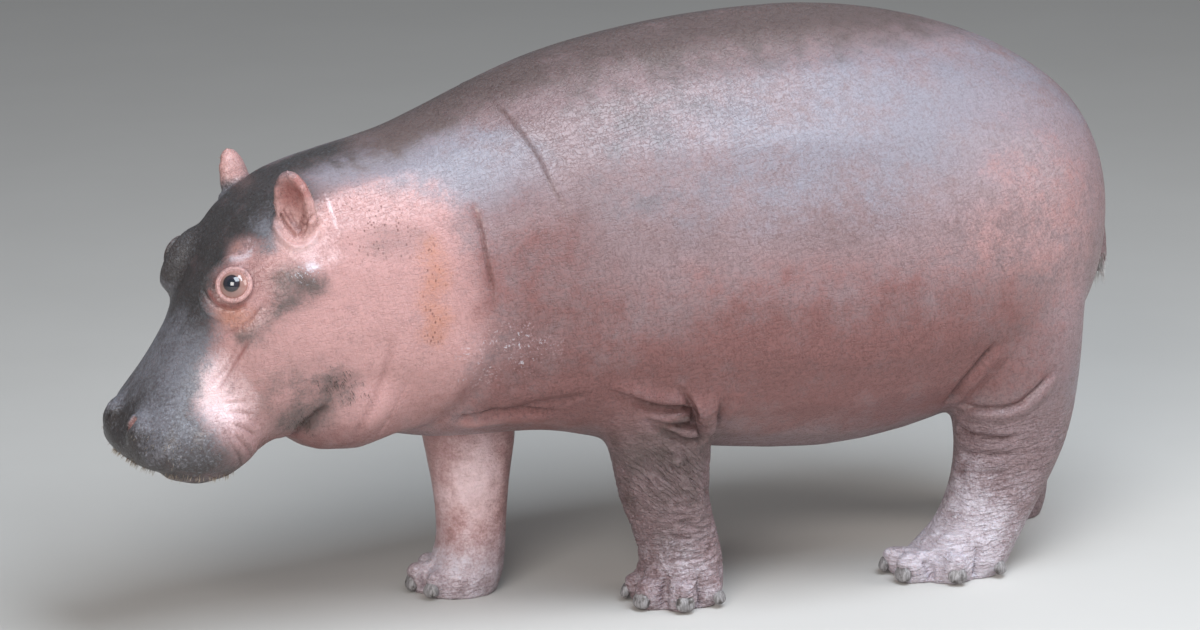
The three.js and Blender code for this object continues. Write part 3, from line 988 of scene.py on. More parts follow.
@dataclass
class Skin:
    """The one skin of the calf, from the nose to the tip of the tail."""

    voxel: float = 4.5 * MM
    rounds: int = 90
    overlap: float = 0.8 * MM
    eye_cover: float = 1.5 * MM
    triangles: int = 186_000
    barrel_softness: float = 0.5
    head_softness: float = 0.18
    leg_softness: float = 0.12
    snout_softness: float = 0.06
    foot_softness: float = 0.05
    small_softness: float = 0.03
    small_margin: float = 10 * MM

    def flesh(self) -> list[str]:
        """The names of the nodes that the skin replaces."""
        apart = ("eye_", "nail_")
        return [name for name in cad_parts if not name.startswith(apart)]

    def build(self) -> bpy.types.Object:
        """Builds the skin, works its forms into it and dresses it.

        Returns:
            The finished piece.
        """
        obj = self.base()
        plain = self.sculpt(Clay(obj))
        clay = self.thinned(obj)
        self.tint(clay, plain)
        obj.data.materials.clear()
        obj.data.materials.append(SkinFinish().made())
        obj.data.shade_smooth()
        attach(obj, ROOT)
        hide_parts(*self.flesh())
        LOG.info("skin finished: %d faces", len(obj.data.polygons))
        return obj

    def base(self) -> bpy.types.Object:
        """The smooth form of the whole body, before its folds, with small faces where it is fine."""
        obj = self.joined()
        applied(obj, "REMESH", mode="VOXEL", voxel_size=self.voxel)
        clay = Clay(obj)
        clay.relax(self.softness(clay.co), rounds=self.rounds)
        self.refine(obj, FINE_ZONES)
        self.refine(obj, FINEST_ZONES)
        clay = Clay(obj)
        clay.relax(np.full(len(clay.co), 0.5), rounds=3)
        LOG.info("skin's base: %d faces", len(obj.data.polygons))
        return obj

    def joined(self) -> bpy.types.Object:
        """Copies of the flesh nodes and the eyeballs in one mesh, each grown to overlap the next."""
        whole = bmesh.new()
        for name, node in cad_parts.items():
            if name.startswith("nail_"):
                continue
            grow = self.eye_cover if name.startswith("eye_") else self.overlap
            part = bmesh.new()
            part.from_mesh(node.data)
            bmesh.ops.remove_doubles(part, verts=part.verts, dist=0.01 * MM)
            part.normal_update()
            moves = [vert.normal * grow for vert in part.verts]
            for vert, move in zip(part.verts, moves):
                vert.co += move
            mesh = bpy.data.meshes.new(name + "_copy")
            part.to_mesh(mesh)
            part.free()
            whole.from_mesh(mesh)
            bpy.data.meshes.remove(mesh)
        return from_bmesh("skin", whole)

    def softness(self, co: Array) -> Array:
        """How strongly each place is smoothed: the barrel most, and small features least."""
        x, _, z = co.T
        weight = np.full(len(co), self.barrel_softness)
        regions = [
            (rise(x, -0.30, -0.43), self.head_softness),
            (rise(z, 0.30, 0.21) * rise(x, -0.36, -0.30), self.leg_softness),
            (rise(x, -0.62, -0.68), self.snout_softness),
            (rise(z, 0.09, 0.05), self.foot_softness),
        ]
        for name in ("ear_left", "ear_right", "tail"):
            low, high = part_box(name)
            middle, half = (low + high) / 2, (high - low) / 2
            inside = length((co - middle) / (np.array(half) + self.small_margin))
            regions.append((rise(inside, 1.3, 0.9), self.small_softness))
        for share, softness in regions:
            weight = weight * (1 - share) + softness * share
        return weight

    def refine(self, obj: bpy.types.Object, zones: list["Zone"]) -> None:
        """Halves the edges of the faces whose middles lie in some zones.

        Args:
            obj: The skin.
            zones: The zones.
        """
        form = bmesh.new()
        form.from_mesh(obj.data)
        form.faces.ensure_lookup_table()
        middles = np.array([face.calc_center_median() for face in form.faces])
        inside = np.zeros(len(middles), dtype=bool)
        for zone in zones:
            inside |= zone.holds(middles)
        faces = [form.faces[k] for k in np.flatnonzero(inside)]
        edges = list({edge for face in faces for edge in face.edges})
        bmesh.ops.subdivide_edges(form, edges=edges, cuts=1, use_grid_fill=True)
        form.to_mesh(obj.data)
        form.free()

    def sculpt(self, clay: Clay) -> BVHTree:
        """Works the swellings, lids, creases and ripples into the skin.

        Args:
            clay: The skin's smooth form.

        Returns:
            The surface before its creases.
        """
        for swelling in SWELLINGS:
            swelling.work(clay)
        clay.settle()
        for name, side in SIDES.items():
            low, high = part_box("eye_" + name)
            LIDS.work(clay, (low + high) / 2, (high.z - low.z) / 2, side)
        clay.settle()
        surface = clay.surface()
        for crease in CREASES:
            crease.work(clay, surface)
        Toes().work(clay, surface)
        clay.settle()
        for ripples in RIPPLES:
            ripples.work(clay)
        clay.co[:, 2] = np.maximum(clay.co[:, 2], 0.0)
        clay.settle()
        return surface

    def thinned(self, obj: bpy.types.Object) -> Clay:
        """Brings the skin down to its number of triangles, where it is flattest."""
        count = sum(len(face.vertices) - 2 for face in obj.data.polygons)
        applied(obj, "DECIMATE", ratio=min(1.0, self.triangles / count))
        return Clay(obj)

    def tint(self, clay: Clay, plain: BVHTree) -> None:
        """Stores the masks of the tints on the skin, whose surface before its creases is plain."""
        masks = {tint: np.zeros(len(clay.co)) for tint in Tint}
        x, _, z = clay.co.T
        masks[Tint.LEG] = rise(z, 0.26, 0.19) * rise(x, -0.34, -0.29)
        surface = clay.surface()
        for patch in PATCHES:
            patch.paint(clay, masks)
        for stripe in STRIPES:
            stripe.paint(clay, surface, masks)
        for name, side in SIDES.items():
            low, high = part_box("eye_" + name)
            LIDS.paint(clay, masks, (low + high) / 2, side)
        # painted shade at the bottoms of the creases
        for crease in CREASES:
            crease.tint(clay, plain, masks[Tint.PAINTED_CREASE_SHADE])
        for tint, mask in masks.items():
            attribute = clay.mesh.attributes.new(tint.value, "FLOAT", "POINT")
            attribute.data.foreach_set("value", np.clip(mask, 0, 1).astype(np.float32))


@dataclass(frozen=True)
class Zone:
    """A ball-shaped region, on both sides of the body."""

    centre: Point
    radius: float

    def holds(self, places: Array) -> Array:
        """Which of the places lie in the region."""
        centre = np.array(self.centre)
        return (length(places - centre) < self.radius) | (
            length(places - centre * MIRROR) < self.radius
        )


@dataclass
class Eye:
    """One eyeball with a cornea that stands out from it."""

    side: str
    gaze: Point = (-0.52, -0.77, 0.37)
    cornea_angle: float = 34.0
    cornea_height: float = 1.5 * MM
    shrink: float = 0.2 * MM
    segments: int = 64

    def build(self) -> bpy.types.Object:
        """Builds the eyeball in the place of its node.

        Returns:
            The finished piece.
        """
        node = "eye_" + self.side
        low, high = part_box(node)
        centre, radius = (low + high) / 2, (high.z - low.z) / 2 - self.shrink
        gaze = Vector(self.gaze)
        gaze.y *= -SIDES[self.side]
        gaze.normalize()
        form = bmesh.new()
        bmesh.ops.create_uvsphere(
            form, u_segments=self.segments, v_segments=self.segments, radius=radius
        )
        turn = gaze.to_track_quat("Z", "Y")
        angles = []
        for vert in form.verts:
            angle = math.degrees(vert.co.angle(Vector((0, 0, 1)), 0.0))
            lift = max(0.0, 1.0 - (angle / self.cornea_angle) ** 2)
            vert.co *= 1.0 + self.cornea_height * lift / radius
            angles.append(angle / 90.0)
        bmesh.ops.rotate(form, verts=form.verts, matrix=turn.to_matrix())
        bmesh.ops.translate(form, verts=form.verts, vec=centre)
        obj = from_bmesh("eyeball_" + self.side, form)
        obj.data.attributes.new("angle", "FLOAT", "POINT").data.foreach_set("value", angles)
        obj.data.materials.append(EyeFinish().made())
        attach(obj, ROOT)
        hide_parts(node)
        return obj


@dataclass
class Nails:
    """The sixteen nails, one rounded shield on the front of each toe."""

    half_depth: float = 9.0 * MM
    half_width: float = 15 * MM
    half_height: float = 13.5 * MM
    squareness: float = 2.8
    floor_gap: float = 0.4 * MM
    node_height: float = 26 * MM
    narrowed: float = 0.22
    lean: float = -18.0
    around: int = 28
    upwards: int = 18

    def build(self) -> None:
        """Builds a nail in the place of each nail node."""
        material = NailFinish().made()
        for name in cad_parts:
            if name.startswith("nail_"):
                LOG.info("built %s", self.nail(name, material).name)

    def nail(self, node: str, material: bpy.types.Material) -> bpy.types.Object:
        """Builds one nail.

        Args:
            node: The name of the nail's node.
            material: The keratin.

        Returns:
            The finished piece.
        """
        _, end, side, _ = node.split("_")
        low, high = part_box(node)
        foot_low, foot_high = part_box(f"{end}_foot_{side}")
        centre, foot = (low + high) / 2, (foot_low + foot_high) / 2
        size = (high.z - low.z) / self.node_height
        outwards = Vector((centre.x - foot.x, centre.y - foot.y, 0.0)).normalized()
        form = bmesh.new()
        bmesh.ops.create_uvsphere(
            form, u_segments=self.around, v_segments=self.upwards, radius=1.0
        )
        for vert in form.verts:
            shape = sum(abs(value) ** self.squareness for value in vert.co)
            vert.co /= shape ** (1 / self.squareness)
            vert.co.y *= 1.0 - self.narrowed * max(0.0, vert.co.z)
        scale = Vector((self.half_depth, self.half_width, self.half_height)) * size
        bmesh.ops.scale(form, verts=form.verts, vec=scale)
        turn = Matrix.Rotation(math.atan2(outwards.y, outwards.x), 3, "Z")
        tip = Matrix.Rotation(math.radians(self.lean), 3, "Y")
        bmesh.ops.rotate(form, verts=form.verts, matrix=turn @ tip)
        bmesh.ops.translate(form, verts=form.verts, vec=centre)
        for vert in form.verts:
            vert.co.z = max(vert.co.z, self.floor_gap)
        obj = from_bmesh(node + "_keratin", form)
        obj.data.materials.append(material)
        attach(obj, ROOT)
        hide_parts(node)
        return obj


@dataclass(frozen=True)
class Tuft:
    """Hairs that stand along a line on the skin, in millimetres."""

    points: tuple[Point, ...]
    count: int
    spread: float
    shortest: float
    longest: float
    thick: float
    lean: Point
    stand: float = 0.6
    mirrored: bool = True


@dataclass
class Bristles:
    """The stiff hairs of one kind, joined in one piece."""

    name: str
    finish: BristleFinish
    tufts: list[Tuft]
    segments: int = 5
    cuts: int = 3
    tip: float = 0.15
    sunk: float = 0.8 * MM
    strayed: float = 0.16
    bend: float = 0.35
    patch: float = 0.003
    middle_height: float = 0.42
    seed: int = 11

    def build(self, surface: BVHTree) -> bpy.types.Object:
        """Grows the hairs out of the skin.

        Args:
            surface: The skin's surface.

        Returns:
            The finished piece.
        """
        rng = np.random.default_rng(self.seed)
        pattern, faces = self.pattern()
        places, shares, charts = [], [], []
        for tuft in self.tufts:
            for route, sign in both_sides(Route(tuft.points), tuft.mirrored):
                grown, roots = self.grown(tuft, route.drawn(surface), sign, surface, pattern, rng)
                places.append(grown.reshape(-1, 3))
                shares.append(np.tile(pattern[:, 2], len(roots)))
                charts.append(self.charted(roots, pattern).reshape(-1, 2))
        count = sum(len(rows) for rows in places) // len(pattern)
        firsts = np.arange(count) * len(pattern)
        corners = [[int(corner + first) for corner in face] for first in firsts for face in faces]
        mesh = bpy.data.meshes.new(self.name)
        mesh.from_pydata(np.concatenate(places).tolist(), [], corners)
        along = mesh.attributes.new("along", "FLOAT", "POINT")
        along.data.foreach_set("value", np.concatenate(shares).astype(np.float32))
        order = np.array([corner for face in corners for corner in face])
        chart = mesh.uv_layers.new(name="OFBake")
        chart.data.foreach_set("uv", np.concatenate(charts)[order].astype(np.float32).ravel())
        mesh.shade_smooth()
        obj = new_object(self.name, mesh)
        mesh.materials.append(self.finish.made())
        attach(obj, ROOT)
        return obj

    def pattern(self) -> tuple[Array, list[list[int]]]:
        """One straight hair of unit length and unit root radius, as corner places and faces."""
        form = bmesh.new()
        bmesh.ops.create_cone(
            form,
            cap_ends=True,
            segments=self.segments,
            radius1=1.0,
            radius2=self.tip,
            depth=1.0,
            matrix=Matrix.Translation((0.0, 0.0, 0.5)),
        )
        long_edges = [edge for edge in form.edges if abs(edge.verts[0].co.z - edge.verts[1].co.z) > 0.5]
        bmesh.ops.subdivide_edges(form, edges=long_edges, cuts=self.cuts, use_grid_fill=True)
        form.verts.index_update()
        places = np.array([vert.co for vert in form.verts])
        faces = [[vert.index for vert in face.verts] for face in form.faces]
        form.free()
        return places, faces

    def grown(
        self,
        tuft: Tuft,
        line: Array,
        sign: int,
        surface: BVHTree,
        pattern: Array,
        rng: np.random.Generator,
    ) -> tuple[Array, Array]:
        """The corner places of the hairs of one tuft.

        Args:
            tuft: The tuft.
            line: The places of its line.
            sign: 1 for the side where it was placed, and -1 for its mirror image.
            surface: The skin's surface.
            pattern: The straight hair.
            rng: The source of chance.

        Returns:
            The corner places of every hair, and the hairs' roots.
        """
        starts = line[rng.integers(0, len(line), tuft.count)]
        starts = starts + rng.normal(0.0, 0.5, (tuft.count, 3)) * tuft.spread * MM
        found = [surface.find_nearest(Vector(start))[:2] for start in starts]
        roots = np.array([place for place, _ in found])
        normals = np.array([normal for _, normal in found])
        lean = np.array(tuft.lean) * (1.0, sign, 1.0)
        lean = lean / np.linalg.norm(lean)
        ways = tuft.stand * normals + (1.0 - tuft.stand) * lean
        ways = ways + rng.normal(0.0, self.strayed, ways.shape)
        ways /= length(ways)[:, None]
        across = np.cross(ways, (0.31, 0.47, 0.83))
        across /= length(across)[:, None]
        other = np.cross(ways, across)
        reach = rng.uniform(tuft.shortest, tuft.longest, tuft.count)[:, None, None] * MM
        x, y, t = (pattern[:, k][None, :, None] for k in range(3))
        spine = t * ways[:, None] + self.bend * t * t * (lean - ways)[:, None]
        ring = (x * across[:, None] + y * other[:, None]) * tuft.thick * MM / 2
        return (roots - normals * self.sunk)[:, None] + reach * spine + ring, roots

    def charted(self, roots: Array, pattern: Array) -> Array:
        """The bake places of the hairs: a small patch each, at its root on the unrolled body."""
        low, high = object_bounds()
        around = np.arctan2(roots[:, 1], roots[:, 2] - self.middle_height) / (2 * math.pi) + 0.5
        along = (roots[:, 0] - low[0]) / (high[0] - low[0])
        corner = np.stack([pattern[:, 0] / 2 + 0.5, pattern[:, 2]], axis=1)
        return np.stack([around, along], axis=1)[:, None] + corner[None] * self.patch


@dataclass
class Studio:
    """The floor, the lights and the camera."""

    azimuth: float = -25.0
    elevation: float = 14.0
    distance: float = 8.0
    target: Point = (-0.0432, 0.0, 0.385)
    lens: float = 178.8
    sensor: float = 36.0
    floor_size: float = 40.0

    def build(self) -> None:
        """Builds the whole studio."""
        self.camera()
        self.floor()
        self.light("sky", (0.3, -1.5, 3.1), (0.05, -0.1, 0.4), 2.2, 130.0, (0.80, 0.90, 1.0))
        self.light("front", (-3.3, -3.9, 2.4), (-0.1, 0.0, 0.35), 2.6, 190.0, (1.0, 0.96, 0.93))
        self.light("rear", (3.6, -2.0, 1.8), (0.3, 0.0, 0.5), 2.4, 60.0, (1.0, 0.95, 0.93))
        world = bpy.data.worlds.new("studio")
        world.use_nodes = True
        background = world.node_tree.nodes["Background"]
        background.inputs["Color"].default_value = (0.80, 0.84, 0.90, 1.0)
        background.inputs["Strength"].default_value = 0.22
        bpy.context.scene.world = world
        bpy.context.scene.view_settings.view_transform = "Standard"

    def direction(self) -> Vector:
        """The way from the target to the camera."""
        turn, rise_angle = math.radians(self.azimuth), math.radians(self.elevation)
        flat = math.cos(rise_angle)
        return Vector((math.sin(turn) * flat, -math.cos(turn) * flat, math.sin(rise_angle)))

    def camera(self) -> None:
        """Places the camera."""
        data = bpy.data.cameras.new("camera")
        data.lens, data.sensor_width, data.sensor_fit = self.lens, self.sensor, "HORIZONTAL"
        obj = bpy.data.objects.new("camera", data)
        obj.location = Vector(self.target) + self.direction() * self.distance
        obj.rotation_euler = self.direction().to_track_quat("Z", "Y").to_euler()
        bpy.context.scene.collection.objects.link(obj)
        bpy.context.scene.camera = obj

    def floor(self) -> None:
        """Lays the floor."""
        form = bmesh.new()
        bmesh.ops.create_grid(form, x_segments=1, y_segments=1, size=self.floor_size / 2)
        obj = from_bmesh("floor", form)
        graph = Graph("pale_floor")
        tone = graph.mix(graph.noise(3.0, 3.0), (0.56, 0.54, 0.51), (0.60, 0.58, 0.55))
        obj.data.materials.append(graph.finish(Base_Color=tone, Roughness=0.9))
        obj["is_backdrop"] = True

    def light(
        self, name: str, place: Point, towards: Point, size: float, power: float, tone: Colour
    ) -> None:
        """Hangs one soft square light.

        Args:
            name: Its name.
            place: Where it hangs.
            towards: The point that it faces.
            size: The length of its sides.
            power: Its power in watts.
            tone: Its colour.
        """
        data = bpy.data.lights.new(name, "AREA")
        data.size, data.energy, data.color = size, power, tone
        obj = bpy.data.objects.new(name, data)
        obj.location = place
        obj.rotation_euler = (Vector(place) - Vector(towards)).to_track_quat("Z", "Y").to_euler()
        bpy.context.scene.collection.objects.link(obj)


# ------------------------------------------------------------------ the calf's own forms
FINE_ZONES = [
    Zone((-0.60, 0.0, 0.42), 0.20),
    Zone((-0.50, -0.06, 0.55), 0.13),
    Zone((-0.02, -0.17, 0.30), 0.10),
    Zone((-0.02, -0.12, 0.04), 0.11),
    Zone((0.42, -0.14, 0.04), 0.13),
    Zone((0.61, -0.106, 0.04), 0.09),
    Zone((-0.22, -0.086, 0.04), 0.09),
    Zone((-0.200, -0.128, 0.645), 0.080),
    Zone((-0.280, -0.155, 0.520), 0.090),
    Zone((-0.285, -0.140, 0.380), 0.080),
    Zone((-0.200, -0.130, 0.300), 0.090),
    Zone((-0.390, -0.140, 0.360), 0.090),
    Zone((0.410, -0.190, 0.290), 0.080),
    Zone((0.470, -0.190, 0.220), 0.090),
]
FINEST_ZONES = [
    Zone((-0.609, -0.092, 0.504), 0.058),
    Zone((-0.524, -0.104, 0.598), 0.056),
    Zone((-0.722, -0.045, 0.320), 0.036),
]

NECK_FOLD = (
    (-290, -132, 598), (-284, -147, 560), (-282, -160, 524), (-276, -166, 480), (-276, -166, 440),
)
CHEEK_FOLD = ((-593, -114, 438), (-603, -105, 415), (-617, -96, 387), (-632, -92, 360))
NOSTRIL = ((-731, -32, 311), (-731, -41, 319), (-723, -45, 331))
EAR_BASE = (
    (-547, -80, 592), (-546, -98, 570), (-537, -111, 556), (-524, -118, 552), (-506, -119, 560),
    (-494, -111, 578),
)

LIDS = Eyelids(axis=(-0.42, -0.84, 0.30))

SWELLINGS = [
    Swelling((-140, -170, 450), (100, 80, 140), 8),
    Swelling((460, -200, 420), (130, 80, 150), 7),
    Swelling((-150, 0, 250), (80, 90, 30), -12, mirrored=False),
    Swelling((-610, 64, 526), (30, 26, 44), 7, mirrored=False),
    Swelling((-722, -41, 327), (20, 19, 17), 5),
    Swelling((-520, -129, 518), (18, 14, 14), 5),
    Swelling((-9, -178, 288), (28, 14, 8), 5),
    Swelling((6, -171, 261), (20, 12, 7), 4),
    Swelling((-4, -167, 236), (36, 20, 12), 3),
    Swelling((28, -182, 282), (13, 24, 36), 11),
    Swelling((64, -185, 282), (12, 24, 34), 6),
    Swelling((-625, -118, 300), (22, 20, 40), 3),
    Swelling((-470, -95, 290), (50, 40, 25), 4),
]

CREASES = [
    # lids and the folds round the eye
    Crease(
        ((-641, -67, 503), (-643, -86, 489), (-632, -96, 477), (-612, -102, 472), (-594, -107, 479)),
        depth=3, width=2.6, roll=1.5,
    ),
    Crease(
        ((-571, -116, 506), (-577, -118, 480), (-591, -111, 461), (-609, -99, 447), (-626, -80, 435)),
        depth=2.6, width=2.8, roll=1.5,
    ),
    # cheek, corner of the mouth and nostril
    Crease(
        CHEEK_FOLD,
        depth=2.4, width=3.2, roll=1.6,
    ),
    Crease(((-605, -103, 424), (-621, -92, 395), (-640, -88, 370)), depth=1.4, width=2.6),
    Crease(((-626, -95, 350), (-609, -99, 351), (-593, -105, 354)), depth=1.6, width=2.2, roll=1),
    Crease(((-624, -104, 338), (-604, -103, 337), (-585, -105, 334)), depth=1.8, width=2.2, roll=1),
    Crease(((-621, -112, 326), (-603, -111, 319), (-582, -103, 304)), depth=2, width=2.4, roll=1.2),
    Crease(((-621, -114, 314), (-604, -113, 299), (-582, -88, 273)), depth=2, width=2.4, roll=1.2),
    Crease(((-623, -116, 301), (-611, -112, 285), (-598, -85, 262)), depth=2, width=2.4, roll=1.2),
    Crease(
        ((-530, -50, 277), (-516, -76, 292), (-511, -98, 311), (-498, -114, 329), (-478, -126, 345)),
        depth=7, width=6, roll=3,
    ),
    Crease(NOSTRIL, depth=8, width=3.4, roll=2),
    # neck, jowl and brisket
    Crease(
        NECK_FOLD,
        depth=3.4, width=3, roll=2.4, start=0.3, end=0.4,
    ),
    Crease(
        ((-266, -166, 440), (-268, -163, 410), (-276, -153, 368), (-301, -126, 319), (-334, -79, 280),
         (-350, -30, 262)),
        depth=7, width=17, roll=5, roll_side=-1,
    ),
    Crease(
        ((-308, -101, 291), (-281, -115, 301), (-241, -126, 308), (-199, -133, 306), (-160, -134, 298)),
        depth=8, width=7, roll=6, roll_side=-1, lap=-0.6,
    ),
    Crease(
        ((-285, -129, 320), (-245, -126, 307), (-201, -142, 317), (-150, -158, 324), (-123, -167, 330)),
        depth=3, width=7, roll=2,
    ),
    Crease(
        ((-409, -149, 437), (-413, -143, 396), (-424, -134, 355), (-443, -131, 319), (-453, -109, 288)),
        depth=2.5, width=7, roll=2,
    ),
    # ears
    Crease(((-476, -79, 615), (-474, -99, 596), (-463, -124, 556)), depth=-1, width=3),
    Crease(
        EAR_BASE,
        depth=-4.5, width=4.5,
    ),
    Crease(((-541, -94, 596), (-534, -104, 578), (-526, -113, 563)), depth=4, width=2.4, roll=2),
    Crease(((-506, -121, 596), (-514, -116, 580), (-524, -114, 563)), depth=4, width=2.4, roll=2),
    # shoulder
    Crease(
        ((-230, -40, 712), (-211, -107, 674), (-195, -136, 638), (-187, -156, 607), (-168, -174, 560),
         (-160, -184, 520)),
        depth=2.6, width=3, roll=2, end=0.5,
    ),
    # armpit and elbow
    Crease(
        ((-24, -194, 334), (-10, -190, 318), (5, -182, 300), (17, -172, 280), (26, -165, 256),
         (30, -150, 240)),
        depth=17, width=5, roll=7, start=0.55, lap=0.3,
    ),
    Crease(
        ((-123, -172, 343), (-110, -170, 331), (-79, -176, 316), (-41, -180, 302), (-1, -179, 297),
         (14, -175, 289)),
        depth=10, width=6, roll=7, start=0.5, end=0.03, lap=1,
    ),
    Crease(
        ((-62, -176, 286), (-44, -173, 280), (-17, -177, 275), (18, -170, 272)),
        depth=8, width=4.5, roll=5, start=0.4, end=0.03, lap=1,
    ),
    Crease(
        ((-46, -172, 276), (-20, -173, 261), (5, -168, 250), (30, -163, 248)),
        depth=8, width=4.5, roll=5, start=0.4, end=0.03, lap=1,
    ),
    Crease(
        ((40, -200, 322), (43, -187, 296), (46, -168, 268), (38, -145, 242)),
        depth=6, width=4, roll=5, roll_side=-1, lap=0.6, start=0.6, end=0.05,
    ),
    # flank, thigh and hind leg
    Crease(((440, -226, 352), (405, -202, 295), (401, -173, 264), (392, -159, 248)), 9, 7, 6),
    Crease(((538, -211, 300), (503, -207, 264), (478, -199, 248), (405, -165, 240)), 7, 4.5, 5),
    Crease(((410, -130, 204), (454, -172, 202), (499, -192, 202)), depth=5, width=5, roll=3),
    Crease(((425, -109, 140), (459, -164, 149), (491, -179, 150)), depth=3, width=4, roll=2),
    Crease(((415, -120, 172), (455, -168, 176), (500, -186, 180)), depth=3, width=4, roll=2),
]

RIPPLES = [
    Ripples((0, -130, 190), (60, 110, 45), (1.0, 0.0, -0.85), 5, 2.7, 7),
    Ripples((-10, -120, 110), (90, 120, 60), (1.0, 0.0, -0.15), 7.5, 3.1),
    Ripples((-10, -120, 60), (100, 120, 40), (1.0, 0.0, 0.10), 8, 1.8),
]

